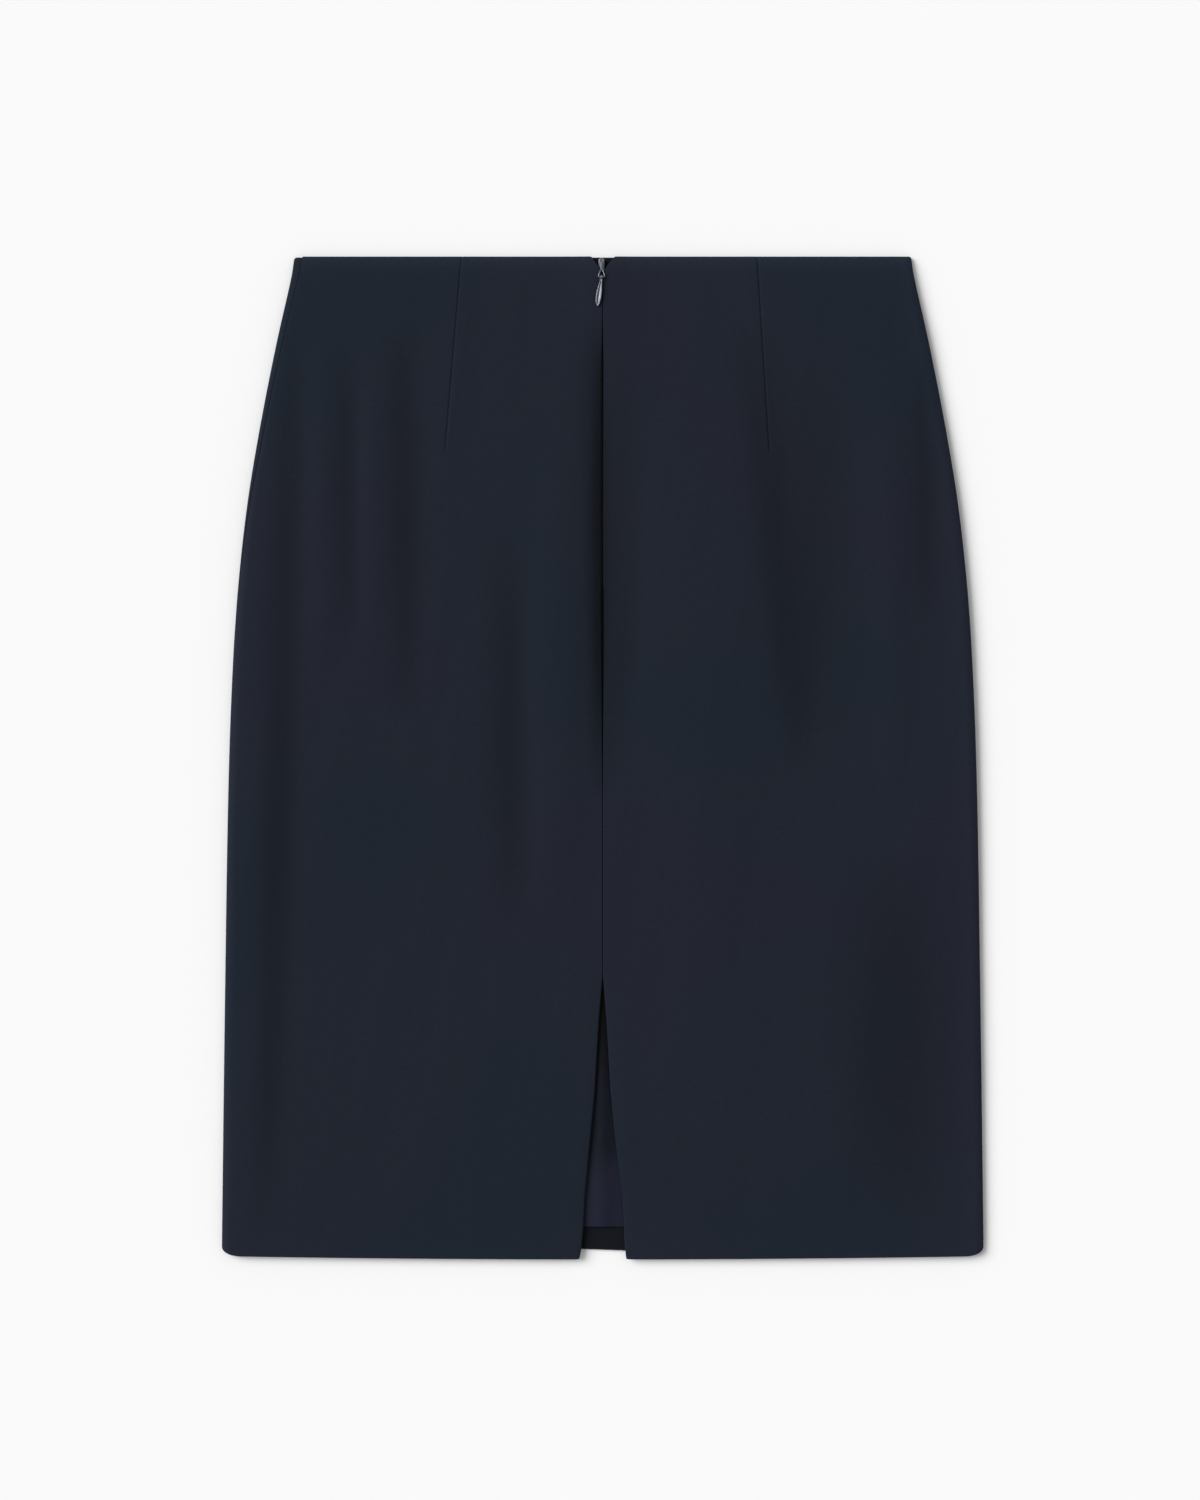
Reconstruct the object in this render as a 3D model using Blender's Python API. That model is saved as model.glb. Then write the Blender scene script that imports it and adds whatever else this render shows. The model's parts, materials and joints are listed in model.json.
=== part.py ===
"""A lined pencil skirt with a concealed centre-back zip and a back vent.

The skirt lies flat on the plane z = 0 with its back upwards. X runs to the side of the
skirt that lies on the right, Y runs towards the waist and Z up. The origin is under the
middle of the skirt. Places along the skirt are given as distances down from the waist.
"""

import math
from collections import namedtuple

import bmesh
import bpy
from mathutils import Matrix, Vector

MM = 0.001
QUARTER_TURN = Matrix.Rotation(math.radians(90), 3, "Y")

# Lengths down from the waist edge
BACK_LENGTH = 620.0 * MM
FRONT_LENGTH = 614.3 * MM
FRONT_WAIST = 0.6 * MM

# Thicknesses and clearances
CLOTH = 1.2 * MM
LINING = 1.0 * MM
TAPE = 1.0 * MM
SEAM_GAP = 0.3 * MM
FOLD_SEAM_GAP = 0.5 * MM
PLY_GAP = 0.3 * MM

# Side folds, hem corners and waist corners
FOLD_REACH = 5.5 * MM
HEM_RISE_AT_SIDE = 2.0 * MM
HEM_CORNER_IN = 12.0 * MM
HEM_CORNER_UP = 5.5 * MM
FRONT_CORNER_UP = 2.0 * MM
WAIST_CORNER = 2.0 * MM
FRONT_HEM_WAVE = 0.9 * MM
FRONT_HEM_WAVE_LENGTH = 25.0 * MM
TAPE_WIDTH = 12.5 * MM
LINING_INSET = 9.0 * MM

# Zip slider and pull
ZIP_X = -0.7 * MM
KNOB_DOWN = 3.1 * MM
KNOB_RADIUS = 1.55 * MM
KNOB_HOLE = 0.6 * MM
KNOB_HEIGHT = 1.1 * MM
SLIDER_TOP = 2.0 * MM
SLIDER_BOTTOM = 9.8 * MM
SLIDER_HALF_WIDTH = 1.9 * MM
SLIDER_DEPTH = 1.6 * MM
STEM_TOP = 4.2 * MM
STEM_BOTTOM = 7.0 * MM
STEM_HALF_WIDTH = 0.5 * MM
BRIDGE_TOP = 4.0 * MM
BRIDGE_BOTTOM = 9.6 * MM
BRIDGE_HALF_WIDTH = 0.65 * MM
SINK = 0.5 * MM
BAIL_WIRE = 0.4 * MM
BAIL_HALF_WIDTH = 1.8 * MM
BAIL_TOP = 8.6 * MM
PIVOT_DOWN = 13.6 * MM
PIVOT_ABOVE_CLOTH = 1.55 * MM
PULL_LENGTH = 18.0 * MM
PULL_HALF_WIDTH = 1.83 * MM
PULL_NECK_HALF_WIDTH = 0.62 * MM
PULL_WIDEST = 0.62
PULL_THICKNESS = 1.0 * MM
PULL_TILT = math.radians(8.5)
EYE_RADIUS = 1.2 * MM
EYE_HOLE = 0.65 * MM
EYE_WIDTH = 1.3 * MM

# Half the width of the flat skirt, in millimetres
SideRow = namedtuple("SideRow", "down half_width")
SIDE_LINE = (
    SideRow(0, 191.0),
    SideRow(10, 192.4),
    SideRow(52, 201.6),
    SideRow(102, 211.3),
    SideRow(151, 219.3),
    SideRow(200, 224.8),
    SideRow(250, 228.3),
    SideRow(324, 231.1),
    SideRow(447, 233.2),
    SideRow(620, 235.4),
)

# Height of the middle of the back's cloth above the ground, in millimetres
HeightRow = namedtuple("HeightRow", "down height")
HEIGHT_LINE = (
    HeightRow(0, 4.6),
    HeightRow(12, 5.2),
    HeightRow(60, 6.0),
    HeightRow(150, 6.3),
    HeightRow(300, 6.1),
    HeightRow(450, 5.6),
    HeightRow(580, 5.2),
    HeightRow(620, 4.8),
)

# Where the side seams lie round the side folds: 0 degrees is the top of the fold, 90 its
# outermost line and 180 the ground. The left seam starts on top, the right one below.
SeamRow = namedtuple("SeamRow", "down left right")
SEAM_LINE = (
    SeamRow(0, 8, 172),
    SeamRow(120, 30, 150),
    SeamRow(200, 62, 122),
    SeamRow(240, 95, 105),
    SeamRow(620, 95, 100),
)

# Distance of the two back panels' inner edges from the centre line, in millimetres: the
# notch over the slider, the closed seam and the spread vent
EdgeRow = namedtuple("EdgeRow", "down left right")
CENTRE_LINE = (
    EdgeRow(0, 6.9, 7.2),
    EdgeRow(5.2, 3.0, 2.9),
    EdgeRow(8.5, 0.9, 0.9),
    EdgeRow(11, 0.15, 0.15),
    EdgeRow(444.8, 0.15, 0.15),
    EdgeRow(472, 2.2, 2.2),
    EdgeRow(515, 4.7, 4.75),
    EdgeRow(548, 7.8, 7.9),
    EdgeRow(582, 11.0, 12.3),
    EdgeRow(600, 11.8, 13.0),
    EdgeRow(613, 13.0, 13.6),
    EdgeRow(620, 14.2, 14.4),
)

# Long soft folds of the back, in millimetres; a positive rise is a ridge
Fold = namedtuple("Fold", "top bottom x_top x_bottom spread rise")
BACK_FOLDS = (
    Fold(-30, 55, 0, 0, 16, 0.9),
    Fold(35, 340, 0, 0, 7, -1.0),
    Fold(45, 340, 8, 12, 16, -0.4),
    Fold(50, 320, -6, -7, 9, -0.2),
    Fold(100, 430, -30, -25, 16, 0.5),
    Fold(170, 420, -56, -54, 12, -0.5),
    Fold(40, 290, -122, -119, 10, -0.6),
    Fold(55, 255, -143, -141, 10, 0.4),
    Fold(55, 245, -157, -155, 9, -0.5),
    Fold(50, 255, -173, -171, 10, 0.4),
    Fold(40, 610, -188, -206, 10, -0.6),
    Fold(90, 560, 60, 64, 34, 0.6),
    Fold(40, 330, 94, 126, 14, -0.6),
    Fold(60, 300, 131, 133, 20, -0.3),
    Fold(60, 330, 176, 180, 12, 0.5),
    Fold(60, 230, 199, 201, 9, -0.5),
    Fold(370, 600, 182, 186, 28, -0.5),
)

# Two soft swells of the lining where the vent shows it
LINING_FOLDS = (
    Fold(455, 560, 1, 0, 6, 1.1),
    Fold(540, 660, 0, -1, 8, 1.6),
)

# Rows of each grid down the skirt and columns across it, in millimetres
BACK_ROWS = (
    0, 2.5, 5.2, 8.5, 11, 18, 35, 55, 80, 105, 130, 155, 180, 210, 240, 275, 310, 350, 395,
    444.8, 472, 515, 548, 582, 600, 613, 620,
)
FRONT_ROWS = (
    0, 5.2, 11, 30, 52, 80, 102, 130, 151, 180, 200, 220, 240, 275, 324, 385, 447, 515, 582,
    600, 613, 620,
)
LINING_ENDS = (14, 599.6)
TAPE_ENDS = (11.5, 205)
FRONT_COLUMNS = (-150, -40, -13, 0, 13, 40, 150)
LINING_COLUMNS = (-150, -75, -30, -18, -12, -8, -4, 0, 4, 8, 12, 18, 30, 75, 150)
BACK_COLUMNS = 18
COLUMN_SPREAD = 1.25
SHORT_FOLD_COLUMNS = 5
LONG_FOLD_COLUMNS = 8
KNOB_SIDES = 20
EYE_SIDES = 16
BAIL_SIDES = 8
PULL_STATIONS = 16
FOLD_FADE = 0.7
SMOOTH_ANGLE = math.radians(40)

# A leg of the bail, as shares of its length and of its half width
LegRow = namedtuple("LegRow", "along out")
BAIL_LEG = (LegRow(0.0, 0.11), LegRow(0.3, 0.55), LegRow(0.65, 0.92), LegRow(0.93, 1.0), LegRow(1.0, 0.8))

# The pull's cross-section, as shares of its half width and of its thickness
RimRow = namedtuple("RimRow", "across height")
PULL_RIM = (
    RimRow(-1.0, 0.0),
    RimRow(-0.75, 0.5),
    RimRow(0.75, 0.5),
    RimRow(1.0, 0.0),
    RimRow(0.75, -0.5),
    RimRow(-0.75, -0.5),
)
PULL_START = 0.055
PULL_END = 0.995

Finish = namedtuple("Finish", "colour roughness metallic")
CLOTH_FINISH = Finish((0.0144, 0.0176, 0.0262), 0.85, 0.0)
LINING_FINISH = Finish((0.0176, 0.0194, 0.0307), 0.45, 0.0)
TAPE_FINISH = Finish((0.0110, 0.0122, 0.0194), 0.8, 0.0)
ZIP_FINISH = Finish((0.105, 0.11, 0.135), 0.35, 0.6)


def clear_scene():
    """Remove every object that the file holds."""
    for item in list(bpy.data.objects):
        bpy.data.objects.remove(item, do_unlink=True)


def make_material(name, finish):
    """Make a Principled material of one colour."""
    material = bpy.data.materials.new(name)
    material.use_nodes = True
    shader = material.node_tree.nodes["Principled BSDF"]
    shader.inputs["Base Color"].default_value = (*finish.colour, 1.0)
    shader.inputs["Roughness"].default_value = finish.roughness
    shader.inputs["Metallic"].default_value = finish.metallic
    return material


def straight_value(table, column, down):
    """Read a table's column at a distance down the skirt, in straight lines between rows."""
    for upper, lower in zip(table, table[1:]):
        if down <= lower.down:
            break
    share = (down - upper.down) / (lower.down - upper.down)
    start = getattr(upper, column)
    return start + (getattr(lower, column) - start) * share


def smooth_value(table, column, down):
    """Read a table's column at a distance down the skirt, on a smooth curve."""
    last = len(table) - 2
    index = 0
    while index < last and down > table[index + 1].down:
        index += 1
    upper, lower = table[index], table[index + 1]
    before, after = table[max(index - 1, 0)], table[min(index + 2, last + 1)]
    span = lower.down - upper.down
    start, end = getattr(upper, column), getattr(lower, column)
    start_slope = (end - getattr(before, column)) / (lower.down - before.down)
    end_slope = (getattr(after, column) - start) / (after.down - upper.down)
    share = min(max((down - upper.down) / span, 0.0), 1.0)
    keep = 2 * share**3 - 3 * share**2 + 1
    return (
        keep * start
        + (1 - keep) * end
        + (share**3 - 2 * share**2 + share) * span * start_slope
        + (share**3 - share**2) * span * end_slope
    )


def fold_rise(folds, across, down):
    """Add up the rises of long soft folds at a place, all in millimetres."""
    rise = 0.0
    for fold in folds:
        along = (down - fold.top) / (fold.bottom - fold.top)
        if 0.0 < along < 1.0:
            centre = fold.x_top + (fold.x_bottom - fold.x_top) * along
            fade = math.sin(math.pi * along) ** FOLD_FADE
            rise += fold.rise * fade * math.exp(-(((across - centre) / fold.spread) ** 2))
    return rise


def half_width(down):
    """Half the outer width of the flat skirt at a row, in metres."""
    return smooth_value(SIDE_LINE, "half_width", down) * MM


def back_height(across, row):
    """Height of the middle of the back's cloth, in metres; the row is in millimetres."""
    plain = smooth_value(HEIGHT_LINE, "height", row)
    return (plain + fold_rise(BACK_FOLDS, across / MM, row)) * MM


def corner_drop(from_edge, reach, depth):
    """How far a rounded corner leaves its straight edge near the side of the skirt."""
    if from_edge >= reach:
        return 0.0
    return depth * (1.0 - math.sqrt(1.0 - ((reach - from_edge) / reach) ** 2))


def along_skirt(across, row, length, top, corner_up):
    """Distance down from the waist line of a grid point, with the corners rounded."""
    share = row / (BACK_LENGTH / MM)
    from_edge = max(half_width(row) - abs(across), 0.0)
    waist = top + corner_drop(from_edge, WAIST_CORNER, WAIST_CORNER)
    rise = corner_drop(from_edge, HEM_CORNER_IN, corner_up)
    return waist + (length - rise - waist) * share


def place(across, down, height):
    """Turn a distance down from the waist line into a point."""
    return Vector((across, BACK_LENGTH / 2 - down, height))


def fold_point(side, row, angle):
    """Point and outward normal on the middle of the cloth round a side fold.

    The fold is half an ellipse that joins the back to the front; side is -1 or 1.
    """
    start = half_width(row) - CLOTH / 2 - FOLD_REACH
    top = back_height(side * start, row)
    middle = (top + CLOTH / 2) / 2
    half_height = (top - CLOTH / 2) / 2
    across = start + FOLD_REACH * math.sin(angle)
    height = middle + half_height * math.cos(angle)
    normal = Vector((side * math.sin(angle) / FOLD_REACH, 0.0, math.cos(angle) / half_height))
    return side * across, height, normal.normalized()


def seam_angle(side, row, shift):
    """Angle of a side seam round its fold, moved along the fold by a distance."""
    column = "left" if side < 0 else "right"
    angle = math.radians(straight_value(SEAM_LINE, column, row))
    start = half_width(row) - CLOTH / 2 - FOLD_REACH
    half_height = (back_height(side * start, row) - CLOTH / 2) / 2
    pace = math.hypot(FOLD_REACH * math.cos(angle), half_height * math.sin(angle))
    return angle + shift / pace


def back_hem(across):
    """Length of the back at a place across it: the hem rises a little to the sides."""
    return BACK_LENGTH - HEM_RISE_AT_SIDE * (across / half_width(BACK_LENGTH / MM)) ** 2


def back_row(side, row):
    """Middle points and normals of a back panel's cloth from its centre edge to its seam."""
    column = "left" if side < 0 else "right"
    inner = straight_value(CENTRE_LINE, column, row) * MM
    outer = half_width(row) - CLOTH / 2 - FOLD_REACH
    points = []
    for index in range(BACK_COLUMNS):
        share = (index / BACK_COLUMNS) ** COLUMN_SPREAD
        across = side * (inner + (outer - inner) * share)
        slope = (back_height(across + MM, row) - back_height(across - MM, row)) / (2 * MM)
        normal = Vector((-slope, 0.0, 1.0)).normalized()
        points.append((across, back_height(across, row), normal))
    count = SHORT_FOLD_COLUMNS if side < 0 else LONG_FOLD_COLUMNS
    last = seam_angle(side, row, -FOLD_SEAM_GAP / 2)
    for index in range(count + 1):
        points.append(fold_point(side, row, last * index / count))
    line = []
    for across, height, normal in points:
        down = along_skirt(across, row, back_hem(across), 0.0, HEM_CORNER_UP)
        line.append((place(across, down, height), normal))
    return line


def rows_between(ends):
    """Rows of the back's grid between two ends, with the ends."""
    top, bottom = ends
    return (top, *(row for row in BACK_ROWS if top < row < bottom), bottom)


def front_row(row):
    """Middle points and normals of the front's cloth from its left seam to its right one."""
    points = []
    first = seam_angle(-1, row, FOLD_SEAM_GAP / 2)
    for index in range(LONG_FOLD_COLUMNS):
        points.append(fold_point(-1, row, first + (math.pi - first) * index / LONG_FOLD_COLUMNS))
    start = half_width(row) - CLOTH / 2 - FOLD_REACH
    below = Vector((0.0, 0.0, -1.0))
    for across in (-start, *(column * MM for column in FRONT_COLUMNS), start):
        points.append((across, CLOTH / 2, below))
    last = seam_angle(1, row, FOLD_SEAM_GAP / 2)
    for index in range(1, SHORT_FOLD_COLUMNS + 1):
        points.append(fold_point(1, row, math.pi + (last - math.pi) * index / SHORT_FOLD_COLUMNS))
    line = []
    for across, height, normal in points:
        wave = math.sin(max(min(across / FRONT_HEM_WAVE_LENGTH, math.pi), -math.pi))
        length = FRONT_LENGTH + FRONT_HEM_WAVE * wave
        down = along_skirt(across, row, length, FRONT_WAIST, FRONT_CORNER_UP)
        line.append((place(across, down, height), normal))
    return line


def lining_row(row):
    """Middle points and normals of the front lining, just above the front."""
    edge = half_width(row) - LINING_INSET
    line = []
    for across in (-edge, *(column * MM for column in LINING_COLUMNS), edge):
        height = CLOTH + PLY_GAP + LINING / 2 + fold_rise(LINING_FOLDS, across / MM, row) * MM
        line.append((place(across, row * MM, height), Vector((0.0, 0.0, 1.0))))
    return line


def tape_row(side, row):
    """Middle points and normals of a zip tape, just under its back panel."""
    line = []
    for across in (SEAM_GAP / 2, TAPE_WIDTH / 3, TAPE_WIDTH):
        height = back_height(side * across, row) - CLOTH / 2 - PLY_GAP - TAPE / 2
        line.append((place(side * across, row * MM, height), Vector((0.0, 0.0, 1.0))))
    return line


def add_object(name, bm, material):
    """Turn a finished bmesh into an object with one material."""
    bmesh.ops.recalc_face_normals(bm, faces=bm.faces)
    mesh = bpy.data.meshes.new(name)
    bm.to_mesh(mesh)
    bm.free()
    mesh.materials.append(material)
    mesh.shade_smooth()
    mesh.set_sharp_from_angle(angle=SMOOTH_ANGLE)
    item = bpy.data.objects.new(name, mesh)
    bpy.context.scene.collection.objects.link(item)
    return item


def add_strip(bm, line, following):
    """Add the row of faces between two lines of vertices."""
    for start, end, far_start, far_end in zip(line, line[1:], following, following[1:]):
        bm.faces.new((start, end, far_end, far_start))


def make_wall(name, grid, thickness, material):
    """Make a closed wall of cloth on both sides of a grid of middle points and normals."""
    bm = bmesh.new()
    skins = []
    for offset in (thickness / 2, -thickness / 2):
        skin = [[bm.verts.new(point + normal * offset) for point, normal in line] for line in grid]
        skins.append(skin)
    outer, inner = skins
    for skin in skins:
        for line, following in zip(skin, skin[1:]):
            add_strip(bm, line, following)
    for row in (0, -1):
        add_strip(bm, outer[row], inner[row])
    for column in (0, -1):
        add_strip(bm, [line[column] for line in outer], [line[column] for line in inner])
    bmesh.ops.triangulate(bm, faces=bm.faces)
    return add_object(name, bm, material)


def add_block(bm, low, high):
    """Add a box between two corners."""
    box = bmesh.ops.create_cube(bm, size=1.0)
    size = high - low
    bmesh.ops.scale(bm, vec=size, verts=box["verts"])
    bmesh.ops.translate(bm, vec=(low + high) / 2, verts=box["verts"])


def add_tube(bm, path, radius, sides):
    """Add a round bar with flat ends along a path."""
    rings = []
    for index, point in enumerate(path):
        before, after = path[max(index - 1, 0)], path[min(index + 1, len(path) - 1)]
        along = (after - before).normalized()
        out = along.cross(Vector((0.0, 0.0, 1.0))).normalized()
        up = out.cross(along)
        ring = []
        for step in range(sides):
            angle = 2 * math.pi * step / sides
            ring.append(bm.verts.new(point + (out * math.cos(angle) + up * math.sin(angle)) * radius))
        rings.append(ring)
    for ring, following in zip(rings, rings[1:]):
        add_strip(bm, ring + ring[:1], following + following[:1])
    bm.faces.new(rings[0])
    bm.faces.new(rings[-1])


def add_ring(bm, outer_radius, hole_radius, height, sides):
    """Add a flat ring round the Z axis, centred on the origin."""
    loops = []
    for radius in (outer_radius, hole_radius):
        for level in (-height / 2, height / 2):
            circle = bmesh.ops.create_circle(bm, segments=sides, radius=radius)
            bmesh.ops.translate(bm, vec=(0.0, 0.0, level), verts=circle["verts"])
            loops.append(circle["verts"])
    outer_low, outer_high, hole_low, hole_high = loops
    around = (outer_low, outer_high, hole_high, hole_low, outer_low)
    for loop, following in zip(around, around[1:]):
        add_strip(bm, loop + loop[:1], following + following[:1])
    return [vert for loop in loops for vert in loop]


def unite(base, *others):
    """Join closed objects into one body, and leave only the first."""
    for other in others:
        union = base.modifiers.new("union", "BOOLEAN")
        union.operation = "UNION"
        union.object = other
        graph = bpy.context.evaluated_depsgraph_get()
        joined = bpy.data.meshes.new_from_object(base.evaluated_get(graph))
        base.modifiers.clear()
        base.data = joined
        bpy.data.objects.remove(other, do_unlink=True)
    return base


def cloth_top(across, down):
    """Height of the back's upper face at a place, in metres."""
    return back_height(across, down / MM) + CLOTH / 2


def pivot_point():
    """The line that the pull swings about, where it crosses the zip."""
    return place(ZIP_X, PIVOT_DOWN, cloth_top(ZIP_X, PIVOT_DOWN) + PIVOT_ABOVE_CLOTH)


def bail_point(start, pivot, row, side):
    """Point on a leg of the bail between the bridge and the bar."""
    return start.lerp(pivot, row.along) + Vector((side * row.out * BAIL_HALF_WIDTH, 0.0, 0.0))


def make_slider(material):
    """Make the slider: hidden body, stem, bridge with its knob, and the bail with its bar."""
    pivot = pivot_point()
    bridge_low = cloth_top(ZIP_X, BAIL_TOP) + PLY_GAP
    body_high = back_height(ZIP_X, KNOB_DOWN / MM) - CLOTH
    body = bmesh.new()
    add_block(
        body,
        place(ZIP_X - SLIDER_HALF_WIDTH, SLIDER_BOTTOM, body_high - SLIDER_DEPTH),
        place(ZIP_X + SLIDER_HALF_WIDTH, SLIDER_TOP, body_high),
    )
    stem = bmesh.new()
    add_block(
        stem,
        place(ZIP_X - STEM_HALF_WIDTH, STEM_BOTTOM, body_high - SINK),
        place(ZIP_X + STEM_HALF_WIDTH, STEM_TOP, bridge_low + SINK),
    )
    bridge = bmesh.new()
    add_block(
        bridge,
        place(ZIP_X - BRIDGE_HALF_WIDTH, BRIDGE_BOTTOM, bridge_low),
        place(ZIP_X + BRIDGE_HALF_WIDTH, BRIDGE_TOP, bridge_low + KNOB_HEIGHT - 0.1 * MM),
    )
    knob = bmesh.new()
    ring = add_ring(knob, KNOB_RADIUS, KNOB_HOLE, KNOB_HEIGHT, KNOB_SIDES)
    centre = place(ZIP_X, KNOB_DOWN, bridge_low + KNOB_HEIGHT / 2)
    bmesh.ops.translate(knob, vec=centre, verts=ring)
    start = place(ZIP_X, BAIL_TOP, bridge_low + KNOB_HEIGHT / 2)
    left = [bail_point(start, pivot, row, -1) for row in BAIL_LEG]
    right = [bail_point(start, pivot, row, 1) for row in reversed(BAIL_LEG)]
    bail = bmesh.new()
    add_tube(bail, left + right, BAIL_WIRE, BAIL_SIDES)
    slider = add_object("zip_slider", body, material)
    others = {"stem": stem, "bridge": bridge, "knob": knob, "bail": bail}
    return unite(slider, *(add_object(name, shape, material) for name, shape in others.items()))


def pull_half_width(share):
    """Half the width of the pull's teardrop at a share of its length."""
    if share < PULL_WIDEST:
        ease = share / PULL_WIDEST
        ease = ease * ease * (3 - 2 * ease)
        return PULL_NECK_HALF_WIDTH + (PULL_HALF_WIDTH - PULL_NECK_HALF_WIDTH) * ease
    reach = (share - PULL_WIDEST) / (1 - PULL_WIDEST)
    return PULL_HALF_WIDTH * math.sqrt(max(1 - reach * reach, 0.0))


def make_pull(material):
    """Make the teardrop pull with its eye round the bail's bar, its origin on that bar."""
    pivot = pivot_point()
    blade = bmesh.new()
    tip = place(
        ZIP_X - PULL_LENGTH * math.sin(PULL_TILT),
        PIVOT_DOWN + PULL_LENGTH * math.cos(PULL_TILT),
        0.0,
    )
    tip.z = cloth_top(tip.x, BACK_LENGTH / 2 - tip.y) + PLY_GAP + PULL_THICKNESS / 2
    along = tip - pivot
    out = Vector((along.y, -along.x, 0.0)).normalized()
    up = Vector((0.0, 0.0, 1.0))
    rings = []
    for index in range(PULL_STATIONS + 1):
        share = PULL_START + (PULL_END - PULL_START) * index / PULL_STATIONS
        width = pull_half_width(share)
        ring = []
        for rim in PULL_RIM:
            offset = out * width * rim.across + up * PULL_THICKNESS * rim.height
            ring.append(blade.verts.new(along * share + offset))
        rings.append(ring)
    for ring, following in zip(rings, rings[1:]):
        add_strip(blade, ring + ring[:1], following + following[:1])
    blade.faces.new(rings[0])
    blade.faces.new(rings[-1])
    pull = add_object("zip_pull", blade, material)
    eye = bmesh.new()
    ring = add_ring(eye, EYE_RADIUS, EYE_HOLE, EYE_WIDTH, EYE_SIDES)
    bmesh.ops.rotate(eye, verts=ring, cent=(0.0, 0.0, 0.0), matrix=QUARTER_TURN)
    unite(pull, add_object("eye", eye, material))
    pull.location = pivot
    return pull


clear_scene()
cloth = make_material("suiting cloth", CLOTH_FINISH)
satin = make_material("lining satin", LINING_FINISH)
tape = make_material("zip tape", TAPE_FINISH)
metal = make_material("painted zip metal", ZIP_FINISH)
make_wall("front_panel", [front_row(row) for row in FRONT_ROWS], CLOTH, cloth)
make_wall("back_panel_left", [back_row(-1, row) for row in BACK_ROWS], CLOTH, cloth)
make_wall("back_panel_right", [back_row(1, row) for row in BACK_ROWS], CLOTH, cloth)
make_wall("lining_front", [lining_row(row) for row in rows_between(LINING_ENDS)], LINING, satin)
tape_rows = rows_between(TAPE_ENDS)
make_wall("zip_tape_left", [tape_row(-1, row) for row in tape_rows], TAPE, tape)
make_wall("zip_tape_right", [tape_row(1, row) for row in tape_rows], TAPE, tape)
make_slider(metal)
make_pull(metal)
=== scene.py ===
"""Dress the pencil skirt: cloth, lining, dart stitches, zip and a plain stage.

Tables and grids are in millimetres, and meshes and settings in metres. The skirt lies flat
with its back up: X runs across it, Y towards the waist and Z up. Places along it are
distances down from the waist line.
"""

import json
import math
from collections import namedtuple
from functools import partial

import bmesh
import bpy
import numpy as np
from bpy.props import FloatProperty, FloatVectorProperty, PointerProperty
from bpy.types import Operator, Panel, PropertyGroup
from mathutils import Matrix, Vector


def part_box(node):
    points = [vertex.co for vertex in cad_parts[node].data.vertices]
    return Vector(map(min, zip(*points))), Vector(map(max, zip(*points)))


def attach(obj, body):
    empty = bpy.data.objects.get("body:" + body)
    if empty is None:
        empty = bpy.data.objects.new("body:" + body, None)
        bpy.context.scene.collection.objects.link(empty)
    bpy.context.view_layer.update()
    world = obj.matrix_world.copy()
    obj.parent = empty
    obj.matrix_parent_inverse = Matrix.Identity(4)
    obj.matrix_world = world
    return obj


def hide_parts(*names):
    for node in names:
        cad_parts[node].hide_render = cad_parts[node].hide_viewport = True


bl_info = {
    "name": "Pencil Skirt Dresser",
    "version": (1, 0, 0),
    "blender": (4, 5, 0),
    "location": "View3D > Sidebar > Skirt",
    "description": "Builds the cloth, lining, stitches and zip of a pencil skirt laid flat",
    "category": "Object",
}

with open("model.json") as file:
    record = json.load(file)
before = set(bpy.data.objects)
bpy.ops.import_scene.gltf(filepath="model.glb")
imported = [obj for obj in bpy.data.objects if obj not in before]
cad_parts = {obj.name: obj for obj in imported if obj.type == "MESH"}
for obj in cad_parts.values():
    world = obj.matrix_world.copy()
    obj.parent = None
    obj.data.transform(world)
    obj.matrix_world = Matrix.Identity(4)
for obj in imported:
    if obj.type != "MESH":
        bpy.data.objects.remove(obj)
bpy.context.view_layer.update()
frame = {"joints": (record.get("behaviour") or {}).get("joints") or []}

MM = 0.001
CLOTH_BODY = "skirt"
PULL_BODY = "zip_pull"
BACK_LOW, BACK_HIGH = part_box("back_panel_left")
WAIST_Y = BACK_HIGH.y
BACK_LENGTH = (BACK_HIGH.y - BACK_LOW.y) / MM
FRONT_TOP = (WAIST_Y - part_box("front_panel")[1].y) / MM
LINING_TOP = (WAIST_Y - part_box("lining_front")[1].y) / MM
PIVOT = Vector(frame["joints"][0]["pos_m"])

# ---------------------------------------------------------------- tables of the cut and drape

SideRow = namedtuple("SideRow", "down half_width")
SIDE_LINE = (
    SideRow(0, 191.0),
    SideRow(10, 192.4),
    SideRow(52, 201.6),
    SideRow(102, 211.3),
    SideRow(151, 219.3),
    SideRow(200, 224.8),
    SideRow(250, 228.3),
    SideRow(324, 231.1),
    SideRow(447, 233.2),
    SideRow(620, 235.4),
)

# Height of the back's upper face, apart from its folds
HeightRow = namedtuple("HeightRow", "down height")
HEIGHT_LINE = (
    HeightRow(0, 5.2),
    HeightRow(12, 5.8),
    HeightRow(60, 6.6),
    HeightRow(150, 6.9),
    HeightRow(300, 6.7),
    HeightRow(450, 6.2),
    HeightRow(580, 5.8),
    HeightRow(620, 5.4),
)

# Side seams round the side folds, in degrees from the top of the fold
SeamRow = namedtuple("SeamRow", "down left right")
SEAM_LINE = (
    SeamRow(0, 8, 172),
    SeamRow(120, 30, 150),
    SeamRow(200, 62, 122),
    SeamRow(240, 95, 105),
    SeamRow(620, 95, 100),
)

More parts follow.
